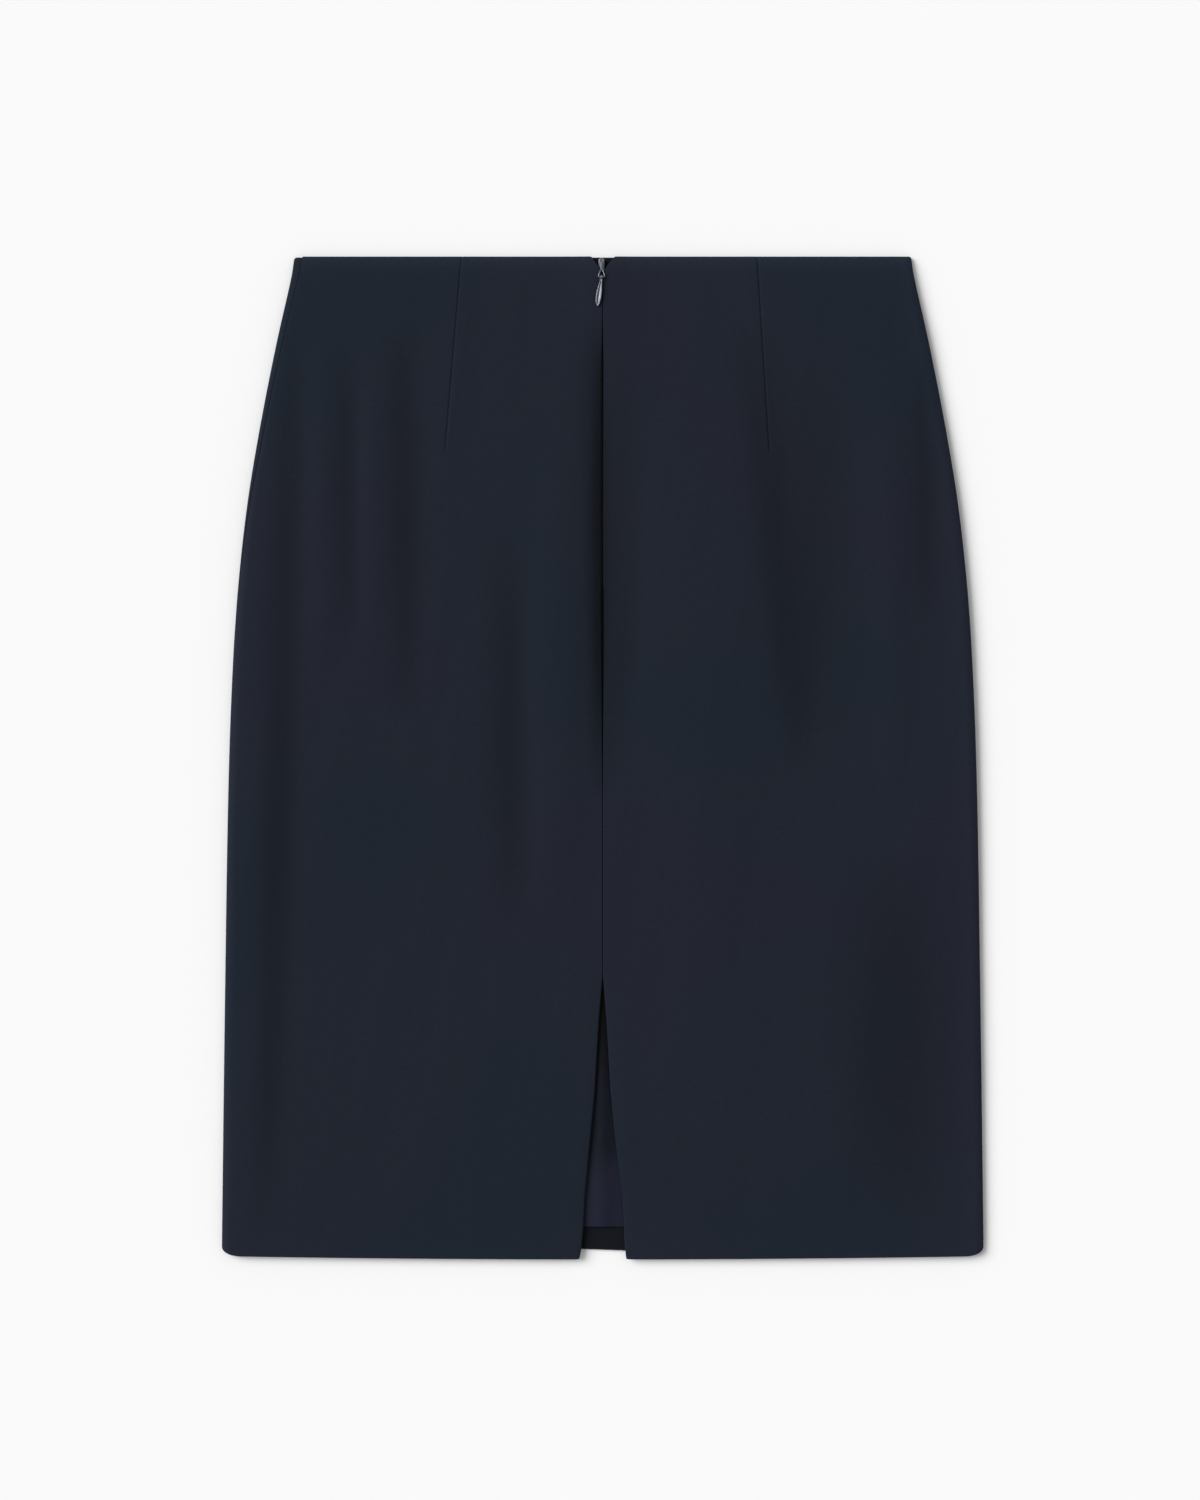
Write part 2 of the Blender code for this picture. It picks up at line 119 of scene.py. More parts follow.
# Inner edges of the back panels: zip notch, closed seam and spread vent
EdgeRow = namedtuple("EdgeRow", "down left right roll turning")
CENTRE_LINE = (
    EdgeRow(0, 6.9, 7.2, 0.60, 3.0),
    EdgeRow(5.2, 3.0, 2.9, 0.60, 2.0),
    EdgeRow(8.5, 0.9, 0.9, 0.50, 1.0),
    EdgeRow(11, 0.12, 0.12, 0.55, 1.0),
    EdgeRow(36, 0.12, 0.12, 0.65, 1.0),
    EdgeRow(75, 0.25, 0.25, 1.30, 1.0),
    EdgeRow(215, 0.25, 0.25, 1.30, 1.0),
    EdgeRow(330, 0.12, 0.12, 0.50, 1.0),
    EdgeRow(441, 0.12, 0.12, 0.42, 1.0),
    EdgeRow(446, 0.20, 0.20, 0.45, 1.5),
    EdgeRow(472, 2.2, 2.2, 0.75, 8.0),
    EdgeRow(515, 4.7, 4.75, 0.80, 14.0),
    EdgeRow(548, 7.8, 7.9, 0.80, 14.0),
    EdgeRow(582, 11.0, 12.3, 0.80, 14.0),
    EdgeRow(600, 11.8, 13.0, 0.80, 14.0),
    EdgeRow(613, 13.0, 13.6, 0.80, 14.0),
    EdgeRow(620, 14.2, 14.4, 0.80, 14.0),
)

# Long soft folds; a positive rise is a ridge
Fold = namedtuple("Fold", "top bottom x_top x_bottom spread rise")
BACK_FOLDS = (
    Fold(-30, 55, 0, 0, 16, 0.9),
    Fold(35, 340, 0, 0, 7, -1.7),
    Fold(45, 340, 8, 12, 16, -0.88),
    Fold(50, 320, -6, -7, 9, -0.44),
    Fold(100, 430, -30, -25, 16, 1.1),
    Fold(170, 420, -56, -54, 12, -1.1),
    Fold(40, 290, -122, -119, 10, -1.32),
    Fold(55, 255, -143, -141, 10, 0.88),
    Fold(55, 245, -157, -155, 9, -1.1),
    Fold(50, 255, -173, -171, 10, 0.88),
    Fold(40, 610, -188, -206, 10, -1.32),
    Fold(90, 560, 60, 64, 34, 1.32),
    Fold(40, 330, 94, 126, 14, -1.32),
    Fold(60, 300, 131, 133, 20, -0.66),
    Fold(60, 330, 176, 180, 12, 1.1),
    Fold(60, 230, 199, 201, 9, -1.1),
    Fold(370, 600, 182, 186, 28, -1.1),
)
FRONT_FOLDS = (
    Fold(60, 330, -60, -72, 26, 0.25),
    Fold(120, 420, 55, 40, 32, 0.30),
    Fold(40, 240, 118, 130, 18, 0.25),
    Fold(300, 600, -130, -118, 30, 0.25),
    Fold(380, 600, 128, 140, 34, 0.20),
    Fold(90, 300, -150, -158, 14, 0.22),
)
LINING_FOLDS = (
    Fold(448, 566, 1, 0, 5, 1.0),
    Fold(540, 660, 0, -1, 7.5, 1.35),
    Fold(470, 640, -11, -14, 4, 0.35),
    Fold(470, 640, 9, 13, 4, 0.30),
)

# Slight unevenness of laid cloth: each wave's height, its length across and down, and its start
Wave = namedtuple("Wave", "height wide long phase")
WAVES = (
    Wave(0.055, 61.0, 290.0, 0.4),
    Wave(0.045, 37.0, 210.0, 2.1),
    Wave(0.030, 23.0, 130.0, 4.4),
    Wave(0.020, 14.0, 95.0, 1.3),
    Wave(0.018, -29.0, 60.0, 5.2),
)
WAVE_BEND = 0.35
WAVE_BEND_LENGTH = 90.0

# Back darts: their line on the cloth, from the waist to the tip
DartRow = namedtuple("DartRow", "side x_top x_tip tip")
DART_GROOVE = 0.60
DART_GROOVE_HALF_WIDTH = 0.45
DART_PLY = 0.16
DARTS = {-1: DartRow(-1, 87.1, 97.3, 123.0), 1: DartRow(1, 95.5, 103.2, 123.0)}

# One stitch, as shares of its step and dips into the cloth
StitchRow = namedtuple("StitchRow", "along dip")
STITCH = (
    StitchRow(0.0, 0.34),
    StitchRow(0.15, 0.06),
    StitchRow(0.32, -0.02),
    StitchRow(0.5, 0.06),
    StitchRow(0.62, 0.34),
)
STITCH_START = 4.0
STITCH_LIFT = 0.10
STITCH_RADIUS = 0.13
STITCH_SIDES = 6

# Rows and columns of the sheets, as runs of even steps
Run = namedtuple("Run", "start end step")
BACK_ROWS = (
    Run(0, 12, 0.6),
    Run(12, 130, 1.8),
    Run(130, 440, 3.2),
    Run(440, 600, 2.6),
    Run(600, 620, 0.9),
)
# Columns of a back panel count from its centre edge, with finer ones along the dart
PANEL_NOMINAL = 200.0
DART_NOMINAL = 93.2
PANEL_COLUMNS = (
    Run(0, 4, 0.5),
    Run(4, 16, 1.2),
    Run(16, 84, 3.4),
    Run(84, 90, 1.0),
    Run(90, 96.4, 0.4),
    Run(96.4, 102.4, 1.0),
    Run(102.4, 186, 3.4),
    Run(186, 200, 1.4),
)
FRONT_ROWS = (Run(0, 9, 0.9), Run(9, 600, 4.2), Run(600, 620, 0.9))
FRONT_COLUMNS = 64
LINING_ROWS = (Run(0, 430, 12), Run(430, 570, 1.8), Run(570, 585.6, 0.8))
LINING_COLUMNS = (Run(-1, -0.1, 0.05), Run(-0.1, 0.1, 0.004), Run(0.1, 1, 0.05))
LINING_INSET = 9.0
LINING_HEIGHT = 1.05
LINING_RISE = 1.2
LINING_RISE_TOP = 400.0
LINING_RISE_LENGTH = 45.0
SHORT_FOLD_COLUMNS = 14
LONG_FOLD_COLUMNS = 22

FOLD_FADE = 0.7
FOLD_REACH = 6.1
HEM_RISE_AT_SIDE = 2.0
HEM_CORNER_IN = 12.0
HEM_CORNER_UP = 5.5
FRONT_CORNER_UP = 2.0
WAIST_CORNER = 2.0
FRONT_LENGTH = 614.3
FRONT_HEM_WAVE = 0.9
FRONT_HEM_WAVE_LENGTH = 25.0
WAIST_ROLL = 0.85
HEM_ROLL = 0.8
SIDE_ROLL = 0.35
WAIST_TURNING = 14.0
HEM_TURNING = 14.0
FRONT_HEM_TURNING = 32.0
SIDE_TURNING = 0.5
ROLL_STEPS = 7
TURNING_SHARES = (0.12, 0.35, 0.65, 1.0)


# ---------------------------------------------------------------- settings


class SkirtClothSettings(PropertyGroup):
    """Sizes and colours of the cloth."""

    cloth_colour: FloatVectorProperty(
        name="Cloth", description="Main colour of the suiting", subtype="COLOR",
        size=3, min=0, max=1, default=(0.0076, 0.0117, 0.0198),
    )
    cloth_tint: FloatVectorProperty(
        name="Cloth tint", description="Second tone that drifts over the suiting", subtype="COLOR",
        size=3, min=0, max=1, default=(0.0094, 0.0117, 0.0205),
    )
    lining_colour: FloatVectorProperty(
        name="Lining", description="Colour of the lining", subtype="COLOR",
        size=3, min=0, max=1, default=(0.0060, 0.0074, 0.0148),
    )
    thread_colour: FloatVectorProperty(
        name="Thread", description="Colour of the sewing thread", subtype="COLOR",
        size=3, min=0, max=1, default=(0.0040, 0.0045, 0.0075),
    )
    thickness: FloatProperty(
        name="Cloth thickness", description="Thickness of one layer of suiting",
        unit="LENGTH", default=0.00035, min=0.0001, max=0.001,
    )
    lining_thickness: FloatProperty(
        name="Lining thickness", description="Thickness of the lining",
        unit="LENGTH", default=0.00018, min=0.0001, max=0.001,
    )
    thread_pitch: FloatProperty(
        name="Thread pitch", description="Distance between neighbouring threads of the weave",
        unit="LENGTH", default=0.00042, min=0.0001, max=0.002,
    )
    stitch_length: FloatProperty(
        name="Stitch length", description="Length of one dart stitch with its gap",
        unit="LENGTH", default=0.0028, min=0.001, max=0.006,
    )


class SkirtZipSettings(PropertyGroup):
    """Sizes and colours of the zip."""

    metal_colour: FloatVectorProperty(
        name="Enamel", description="Colour of the slider and the pull", subtype="COLOR",
        size=3, min=0, max=1, default=(0.13, 0.135, 0.165),
    )
    tape_colour: FloatVectorProperty(
        name="Tape", description="Colour of the zip tape and coil", subtype="COLOR",
        size=3, min=0, max=1, default=(0.010, 0.011, 0.018),
    )
    coil_pitch: FloatProperty(
        name="Coil pitch", description="Distance between the turns of the coil",
        unit="LENGTH", default=0.0011, min=0.0005, max=0.003,
    )


class SkirtStageSettings(PropertyGroup):
    """Floor, light and camera."""

    floor_colour: FloatVectorProperty(
        name="Floor", description="Colour of the floor", subtype="COLOR",
        size=3, min=0, max=1, default=(0.8, 0.8, 0.8),
    )
    fill_strength: FloatProperty(
        name="Fill", description="Strength of the even light from all round", default=0.52, min=0, max=5,
    )
    key_strength: FloatProperty(
        name="Key", description="Strength of the wide soft light from the upper left",
        default=3.30, min=0, max=20,
    )
    key_spread: FloatProperty(
        name="Key spread", description="How wide the soft light looks from the cloth",
        subtype="ANGLE", default=0.75, min=0.01, max=3.1,
    )
    lens: FloatProperty(
        name="Lens", description="Focal length of the camera in millimetres", default=85.0, min=20, max=300,
    )
    view_height: FloatProperty(
        name="View height", description="Height of the view at the cloth", unit="LENGTH",
        default=0.92574, min=0.1, max=5,
    )
    aim_x: FloatProperty(
        name="Aim X", description="Where the camera looks, across", unit="LENGTH", default=-0.00167,
    )
    aim_y: FloatProperty(
        name="Aim Y", description="Where the camera looks, up the skirt", unit="LENGTH", default=0.00478,
    )


# ---------------------------------------------------------------- shapes of the cloth


def spaced(runs):
    """Positions along runs of even steps, each near its run's step."""
    parts = []
    for run in runs:
        count = max(round((run.end - run.start) / run.step), 1)
        parts.append(np.linspace(run.start, run.end, count + 1)[:-1])
    return np.concatenate([*parts, [runs[-1].end]])


def straight_value(table, column, down):
    """Read a table's column in straight lines between rows."""
    knots = [row.down for row in table]
    return np.interp(down, knots, [getattr(row, column) for row in table])


def smooth_value(table, column, down):
    """Read a table's column on a smooth curve through its rows."""
    knots = np.array([row.down for row in table], float)
    values = np.array([getattr(row, column) for row in table], float)
    slopes = np.gradient(values, knots)
    slopes[1:-1] = (values[2:] - values[:-2]) / (knots[2:] - knots[:-2])
    down = np.clip(down, knots[0], knots[-1])
    index = np.clip(np.searchsorted(knots, down, side="right") - 1, 0, len(knots) - 2)
    span = knots[index + 1] - knots[index]
    share = (down - knots[index]) / span
    keep = 2 * share**3 - 3 * share**2 + 1
    curve = (share**3 - 2 * share**2 + share) * slopes[index] + (share**3 - share**2) * slopes[index + 1]
    return keep * values[index] + (1 - keep) * values[index + 1] + curve * span


def fold_rise(folds, across, down):
    """Add up the rises of long soft folds."""
    rise = np.zeros(np.broadcast(across, down).shape)
    for fold in folds:
        along = np.clip((down - fold.top) / (fold.bottom - fold.top), 0, 1)
        centre = fold.x_top + (fold.x_bottom - fold.x_top) * along
        fade = np.sin(math.pi * along) ** FOLD_FADE
        rise = rise + fold.rise * fade * np.exp(-(((across - centre) / fold.spread) ** 2))
    return rise


def ease(value):
    """Smooth step from 0 to 1."""
    value = np.clip(value, 0, 1)
    return value * value * (3 - 2 * value)


def half_width(down):
    """Half the width of the flat skirt."""
    return smooth_value(SIDE_LINE, "half_width", down)


def corner_drop(from_edge, reach, depth):
    """How far a rounded corner leaves its straight edge near the side."""
    inside = np.clip((reach - from_edge) / reach, 0, 1)
    return depth * (1 - np.sqrt(1 - inside**2))


def edge_fall(distance, reach, depth):
    """How far the cloth falls as it nears a turned edge."""
    return depth * np.clip(1 - distance / reach, 0, 1) ** 2


def dart_line(side, down):
    """Distance of a dart's line from the centre, and its natural column beyond the tip."""
    dart = DARTS[side]
    line = dart.x_top + (dart.x_tip - dart.x_top) * down / dart.tip
    return np.minimum(line, dart.x_tip + (dart.x_tip - dart.x_top) * 0.3)


def dart_relief(side, across, down):
    """Groove of the dart's seam, with its allowance pressed towards the centre."""
    dart = DARTS[side]
    off = across * side - dart_line(side, down)
    live = ease((dart.tip - down) / 6)
    groove = -DART_GROOVE * np.exp(-((off / DART_GROOVE_HALF_WIDTH) ** 2)) * live
    width = 1.0 + 8.0 * np.clip(1 - down / dart.tip, 0, 1)
    ply = DART_PLY * live * ease(-off / 0.8) * ease((off + width + 3.0) / 3.0)
    beyond = np.exp(-(((down - dart.tip - 8) / 13) ** 2) - (off / 7) ** 2)
    return groove + ply + 0.25 * beyond


def ripples(across, down):
    """Slight unevenness of laid cloth, longer down the skirt than across it."""
    total = np.zeros(np.broadcast(across, down).shape)
    for wave in WAVES:
        bend = WAVE_BEND * np.sin(down / WAVE_BEND_LENGTH + wave.phase)
        turns = across / wave.wide + down / wave.long + bend
        total = total + wave.height * np.sin(2 * math.pi * turns + wave.phase)
    return total


def seam_pucker(from_seam, down):
    """Small dimples that the stitching draws along the centre seam."""
    near = np.exp(-np.maximum(from_seam, 0) / 5)
    return 0.05 * near * np.sin(2 * math.pi * down / 6.4 + 1.3 * np.sin(down / 17))


def back_face(side, across, down, from_inner):
    """Height of the back's upper face."""
    height = smooth_value(HEIGHT_LINE, "height", down) + fold_rise(BACK_FOLDS, across, down)
    height = height + ripples(across, down) * ease(down / 30) * ease((BACK_LENGTH - down) / 15)
    height = height + dart_relief(side, across, down)
    height = height + seam_pucker(from_inner, down) * ease((down - 12) / 10) * ease((446 - down) / 10)
    height = height - edge_fall(down, 10.0, 1.4) - edge_fall(BACK_LENGTH - down, 8.0, 0.45)
    vent = ease((down - 440) / 20)
    seam = ease((down - 36) / 40) * ease((350 - down) / 110)
    return height - edge_fall(from_inner, 7.0, 0.35) * vent - edge_fall(from_inner, 6.5, 1.1) * seam


Sheet = namedtuple("Sheet", "points normals flat")


def finish_sheet(across, down, height, shade=0.0):
    """Turn arrays of places into points, outward normals and flat coordinates in metres.

    The flat coordinates carry a third part: painted light and shade, lighter for painted highlights along
    edges and darker for painted shade in hollows.
    """
    points = np.stack([across * MM, WAIST_Y - down * MM, height * MM], axis=-1)
    along_row = np.gradient(points, axis=0)
    along_column = np.gradient(points, axis=1)
    normals = np.cross(along_row, along_column)
    normals /= np.linalg.norm(normals, axis=-1, keepdims=True)
    steps = np.linalg.norm(np.diff(points, axis=1), axis=-1)
    run = np.concatenate([np.zeros((len(points), 1)), np.cumsum(steps, axis=1)], axis=1)
    flat = np.stack([run, down * MM, shade + np.zeros_like(run)], axis=-1)
    return Sheet(points, normals, flat)


def row_of(across, row, top, length, corner_up):
    """Distance down from the waist of grid points, with the skirt's corners rounded."""
    from_edge = np.maximum(half_width(row) - np.abs(across), 0)
    waist = top + corner_drop(from_edge, WAIST_CORNER, WAIST_CORNER)
    rise = corner_drop(from_edge, HEM_CORNER_IN, corner_up)
    return waist + (length - rise - waist) * row / BACK_LENGTH


def fold_columns(side, rows, top, first, last, count):
    """Across and height of a side fold's columns between two angles, in radians."""
    shares = np.linspace(0, 1, count + 1)[None, :]
    angle = first[:, None] + (last - first)[:, None] * shares
    start = half_width(rows) - FOLD_REACH
    across = side * (start[:, None] + FOLD_REACH * np.sin(angle))
    height = top[:, None] / 2 * (1 + np.cos(angle))
    return across, height


def seam_angle(side, rows, top, shift):
    """Angle of a side seam round its fold, moved along the fold by a distance."""
    column = "left" if side < 0 else "right"
    angle = np.radians(straight_value(SEAM_LINE, column, rows))
    pace = np.hypot(FOLD_REACH * np.cos(angle), top / 2 * np.sin(angle))
    return angle + shift / pace


def back_sheet(side):
    """Upper face of a back panel, from its centre edge to its side seam."""
    rows = spaced(BACK_ROWS)
    column = "left" if side < 0 else "right"
    shares = spaced(PANEL_COLUMNS)
    inner = straight_value(CENTRE_LINE, column, rows) + straight_value(CENTRE_LINE, "roll", rows)
    outer = half_width(rows) - FOLD_REACH
    split = DART_NOMINAL / PANEL_NOMINAL
    natural = inner + (outer - inner) * split
    dart = DARTS[side]
    beyond = ease((rows - dart.tip) / 90)
    middle = dart_line(side, rows) * (1 - beyond) + natural * beyond
    nominal = shares / PANEL_NOMINAL
    before = np.minimum(nominal / split, 1)[None, :]
    after = np.maximum((nominal - split) / (1 - split), 0)[None, :]
    flat_part = inner[:, None] + (middle - inner)[:, None] * before + (outer - middle)[:, None] * after
    top = back_face(side, side * outer, rows, outer - inner)
    last = seam_angle(side, rows, top, -SIDE_ROLL - 0.1)
    count = SHORT_FOLD_COLUMNS if side < 0 else LONG_FOLD_COLUMNS
    fold_across, fold_height = fold_columns(side, rows, top, np.zeros_like(rows), last, count)
    across = np.concatenate([side * flat_part, fold_across[:, 1:]], axis=1)
    row_grid = np.broadcast_to(rows[:, None], across.shape)
    hem = BACK_LENGTH - HEM_RISE_AT_SIDE * (across / half_width(BACK_LENGTH)) ** 2
    down = row_of(across, row_grid, WAIST_ROLL, hem - HEM_ROLL, HEM_CORNER_UP)
    flat_height = back_face(side, side * flat_part, row_grid[:, : len(shares)], flat_part - inner[:, None])
    height = np.concatenate([flat_height, fold_height[:, 1:]], axis=1)
    # Painted shade: fold troughs darken the cloth's colour.
    hollow = np.minimum(fold_rise(BACK_FOLDS[1:], across, row_grid), 0) * 0.55
    from_side = np.maximum(half_width(row_grid) - np.abs(across), 0)
    # Painted highlight: the cloth lightens towards its side folds, more on the right.
    rim = (0.7 if side < 0 else 1.0) * np.exp(-from_side / 6)
    # Painted highlight: the cloth lightens along the waist and, less, along the hem.
    painted_light = 1.3 * np.exp(-down / 4) + 0.4 * np.exp(-(hem - down) / 4)
    return finish_sheet(across, down, height, hollow + rim + painted_light)


def front_sheet():
    """Lower face of the front, from its left seam under the skirt to its right seam."""
    rows = spaced(FRONT_ROWS)
    outer = half_width(rows) - FOLD_REACH
    half_turn = np.full_like(rows, math.pi)
    parts = []
    for side, count in ((-1, LONG_FOLD_COLUMNS), (1, SHORT_FOLD_COLUMNS)):
        top = back_face(side, side * outer, rows, outer)
        seam = seam_angle(side, rows, top, SIDE_ROLL + 0.1)
        first, last = (seam, half_turn) if side < 0 else (half_turn, seam)
        parts.append(fold_columns(side, rows, top, first, last, count))
    shares = np.linspace(-1, 1, FRONT_COLUMNS + 1)[None, 1:-1]
    flat_across = outer[:, None] * shares
    hollow = fold_rise(FRONT_FOLDS, flat_across, rows[:, None])
    across = np.concatenate([parts[0][0], flat_across, parts[1][0]], axis=1)
    height = np.concatenate([parts[0][1], hollow, parts[1][1]], axis=1)
    wave = np.sin(np.clip(across / FRONT_HEM_WAVE_LENGTH, -math.pi, math.pi))
    length = FRONT_LENGTH + FRONT_HEM_WAVE * wave - HEM_ROLL
    row_grid = np.broadcast_to(rows[:, None], across.shape)
    down = row_of(across, row_grid, FRONT_TOP + WAIST_ROLL, length, FRONT_CORNER_UP)
    return finish_sheet(across, down, height)


def lining_sheet():
    """Upper face of the front lining, which the vent shows."""
    rows = LINING_TOP + spaced(LINING_ROWS)
    shares = spaced(LINING_COLUMNS)[None, :]
    half = half_width(rows) - LINING_INSET
    across = half[:, None] * shares
    down = np.broadcast_to(rows[:, None], across.shape)
    rise = LINING_RISE * ease((down - LINING_RISE_TOP) / LINING_RISE_LENGTH)
    height = LINING_HEIGHT + rise + fold_rise(LINING_FOLDS, across, down)
    crinkle = np.sin(across / 1.9 + np.sin(down / 31) * 2) * np.sin(down / 47 + 0.6)
    height = height + 0.05 * crinkle * np.exp(-((across / 22) ** 2)) * ease((down - 440) / 40)
    return finish_sheet(across, down, height)


# ---------------------------------------------------------------- meshes


def add_piece(name, bm, body, material):
    """Turn a bmesh into a piece that rides on a body and takes a slot's finish."""
    mesh = bpy.data.meshes.new(name)
    bm.to_mesh(mesh)
    bm.free()
    piece = bpy.data.objects.new(name, mesh)
    bpy.context.scene.collection.objects.link(piece)
    mesh.shade_smooth()
    mesh.materials.append(material)
    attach(piece, body)
    return piece


def border_of(grid):
    """Items round a grid's border, in order."""
    last_row, last_column = len(grid) - 1, len(grid[0]) - 1
    top = [(0, column) for column in range(last_column)]
    side = [(row, last_column) for row in range(last_row)]
    bottom = [(last_row, column) for column in range(last_column, 0, -1)]
    other = [(row, 0) for row in range(last_row, 0, -1)]
    return top + side + bottom + other


def sheet_mesh(sheet):
    """Grid of faces on a sheet's points; returns the bmesh and its vertices by row."""
    rows, columns = sheet.points.shape[:2]
    bm = bmesh.new()
    bmesh.ops.create_grid(bm, x_segments=columns - 1, y_segments=rows - 1, size=0.5)
    flat = bm.verts.layers.float_vector.new("flat")
    grid = [[None] * columns for _ in range(rows)]
    for vert in bm.verts:
        column = round((vert.co.x + 0.5) * (columns - 1))
        row = round((0.5 - vert.co.y) * (rows - 1))
        vert.co = sheet.points[row, column]
        vert[flat] = sheet.flat[row, column]
        grid[row][column] = vert
    return bm, grid


def inside_place(sheet, place, distance):
    """Point and normal on a sheet, a distance inward from a place on its border."""
    row, column = place
    last_row, last_column = sheet.points.shape[0] - 1, sheet.points.shape[1] - 1
    if row in (0, last_row):
        line, facing = sheet.points[:, column], sheet.normals[:, column]
        flip = row == last_row
    else:
        line, facing = sheet.points[row], sheet.normals[row]
        flip = column == last_column
    if flip:
        line, facing = line[::-1], facing[::-1]
    run = np.concatenate([[0], np.cumsum(np.linalg.norm(np.diff(line, axis=0), axis=1))])
    point = np.array([np.interp(distance, run, line[:, axis]) for axis in range(3)])
    normal = np.array([np.interp(distance, run, facing[:, axis]) for axis in range(3)])
    return point, normal / np.linalg.norm(normal)


def extrude_ring(bm, edges, order):
    """Extrude a ring of edges; returns the new faces, the new edges and the new vertices' numbers."""
    made = bmesh.ops.extrude_edge_only(bm, edges=edges)["geom"]
    faces = [item for item in made if isinstance(item, bmesh.types.BMFace)]
    fresh = {}
    for vert in (item for item in made if isinstance(item, bmesh.types.BMVert)):
        links = (edge.other_vert(vert) for edge in vert.link_edges)
        fresh[vert] = next(order[other] for other in links if other in order)
    lines = (item for item in made if isinstance(item, bmesh.types.BMEdge))
    return faces, [edge for edge in lines if edge.verts[0] in fresh and edge.verts[1] in fresh], fresh


def roll_border(bm, grid, sheet, rolls, turnings):
    """Roll a sheet's border under in a half circle and run a turning back beneath it.

    rolls and turnings give the radius and the turning's depth at a border place, in metres.
    """
    places = border_of(grid)
    count = len(places)
    flat = bm.verts.layers.float_vector["flat"]
    points = np.array([sheet.points[place] for place in places])
    normals = np.array([sheet.normals[place] for place in places])
    flats = np.array([sheet.flat[place][:2] for place in places])
    # Painted light and shade of each border place, carried round its roll and turning.
    shades = [float(sheet.flat[place][2]) for place in places]
    tangents = np.roll(points, -1, axis=0) - np.roll(points, 1, axis=0)
    inward = np.cross(normals, tangents)
    inward /= np.linalg.norm(inward, axis=1, keepdims=True)
    centre = sheet.points[len(grid) // 2, len(grid[0]) // 2]
    middle = int(np.argmin(np.abs(points[:, 1] - centre[1])))
    if inward[middle] @ (centre - points[middle]) < 0:
        inward = -inward
    flat_turn = np.roll(flats, -1, axis=0) - np.roll(flats, 1, axis=0)
    flat_in = np.stack([-flat_turn[:, 1], flat_turn[:, 0]], axis=1)
    flat_in /= np.maximum(np.linalg.norm(flat_in, axis=1, keepdims=True), 1e-9)
    if flat_in[middle] @ (sheet.flat[len(grid) // 2, len(grid[0]) // 2][:2] - flats[middle]) < 0:
        flat_in = -flat_in
    steps = np.linalg.norm(np.roll(points, -1, axis=0) - points, axis=1)
    run = np.concatenate([[0], np.cumsum(steps)])
    last_row, last_column = len(grid) - 1, len(grid[0]) - 1
    corners = [places.index(p) for p in ((0, 0), (0, last_column), (last_row, last_column), (last_row, 0))]
    to_corner = np.full(count, 1e9)
    for corner in corners:
        gap = np.abs(run[:-1] - run[corner])
        to_corner = np.minimum(to_corner, np.minimum(gap, run[-1] - gap))
    depth = np.minimum(turnings, to_corner)
    current = {grid[row][column]: index for index, (row, column) in enumerate(places)}
    edges = [edge for edge in bm.edges if edge.is_boundary]
    stages = [(math.pi * (step + 1) / ROLL_STEPS, 0.0) for step in range(ROLL_STEPS)]
    stages += [(math.pi, share) for share in TURNING_SHARES]
    for angle, share in stages:
        faces, edges, current = extrude_ring(bm, edges, current)
        # Turnings take the second material, which on the suiting is a darker copy with painted shade.
        for face in faces:
            face.material_index = 1 if share else 0
        for vert, index in current.items():
            radius = rolls[index]
            if share:
                inner, facing = inside_place(sheet, places[index], depth[index] * share)
                vert.co = Vector(inner - facing * 2 * radius)
            else:
                shift = -inward[index] * radius * math.sin(angle)
                vert.co = Vector(points[index] + shift - normals[index] * radius * (1 - math.cos(angle)))
            path = radius * angle + depth[index] * share
            vert[flat] = (*(flats[index] - flat_in[index] * path), shades[index])


def finish_cloth(bm, sheet):
    """Clean a sheet's mesh, point its faces outwards and give it its flat coordinates."""
    bmesh.ops.remove_doubles(bm, verts=bm.verts, dist=2e-6)
    bmesh.ops.dissolve_degenerate(bm, edges=bm.edges, dist=1e-6)
    bmesh.ops.recalc_face_normals(bm, faces=bm.faces)
    bm.faces.ensure_lookup_table()
    centre = Vector(sheet.points[len(sheet.points) // 2, len(sheet.points[0]) // 2])
    outward = Vector(sheet.normals[len(sheet.points) // 2, len(sheet.points[0]) // 2])
    near = min(bm.faces, key=lambda face: (face.calc_center_median() - centre).length)
    if near.normal.dot(outward) < 0:
        bmesh.ops.reverse_faces(bm, faces=bm.faces)
    flat = bm.verts.layers.float_vector["flat"]
    uv = bm.loops.layers.uv.new("cloth")
    for face in bm.faces:
        for loop in face.loops:
            loop[uv].uv = loop.vert[flat].xy


def orient(sheet, outward):
    """Turn a sheet's normals to a side, given for its middle."""
    middle = sheet.normals[len(sheet.points) // 2, len(sheet.points[0]) // 2]
    if middle @ np.array(outward) < 0:
        return Sheet(sheet.points, -sheet.normals, sheet.flat)
    return sheet


def make_cloth(name, sheet, rolls, turnings, thickness, materials):
    """Make a piece of cloth with rolled edges from a sheet; its turnings take a second material."""
    bm, grid = sheet_mesh(sheet)
    roll_border(bm, grid, sheet, rolls, turnings)
    finish_cloth(bm, sheet)
    piece = add_piece(name, bm, CLOTH_BODY, materials[0])
    for material in materials[1:]:
        piece.data.materials.append(material)
    wall = piece.modifiers.new("cloth wall", "SOLIDIFY")
    wall.thickness = thickness
    wall.offset = -1.0
    wall.use_even_offset = False
    wall.use_quality_normals = True
    return piece


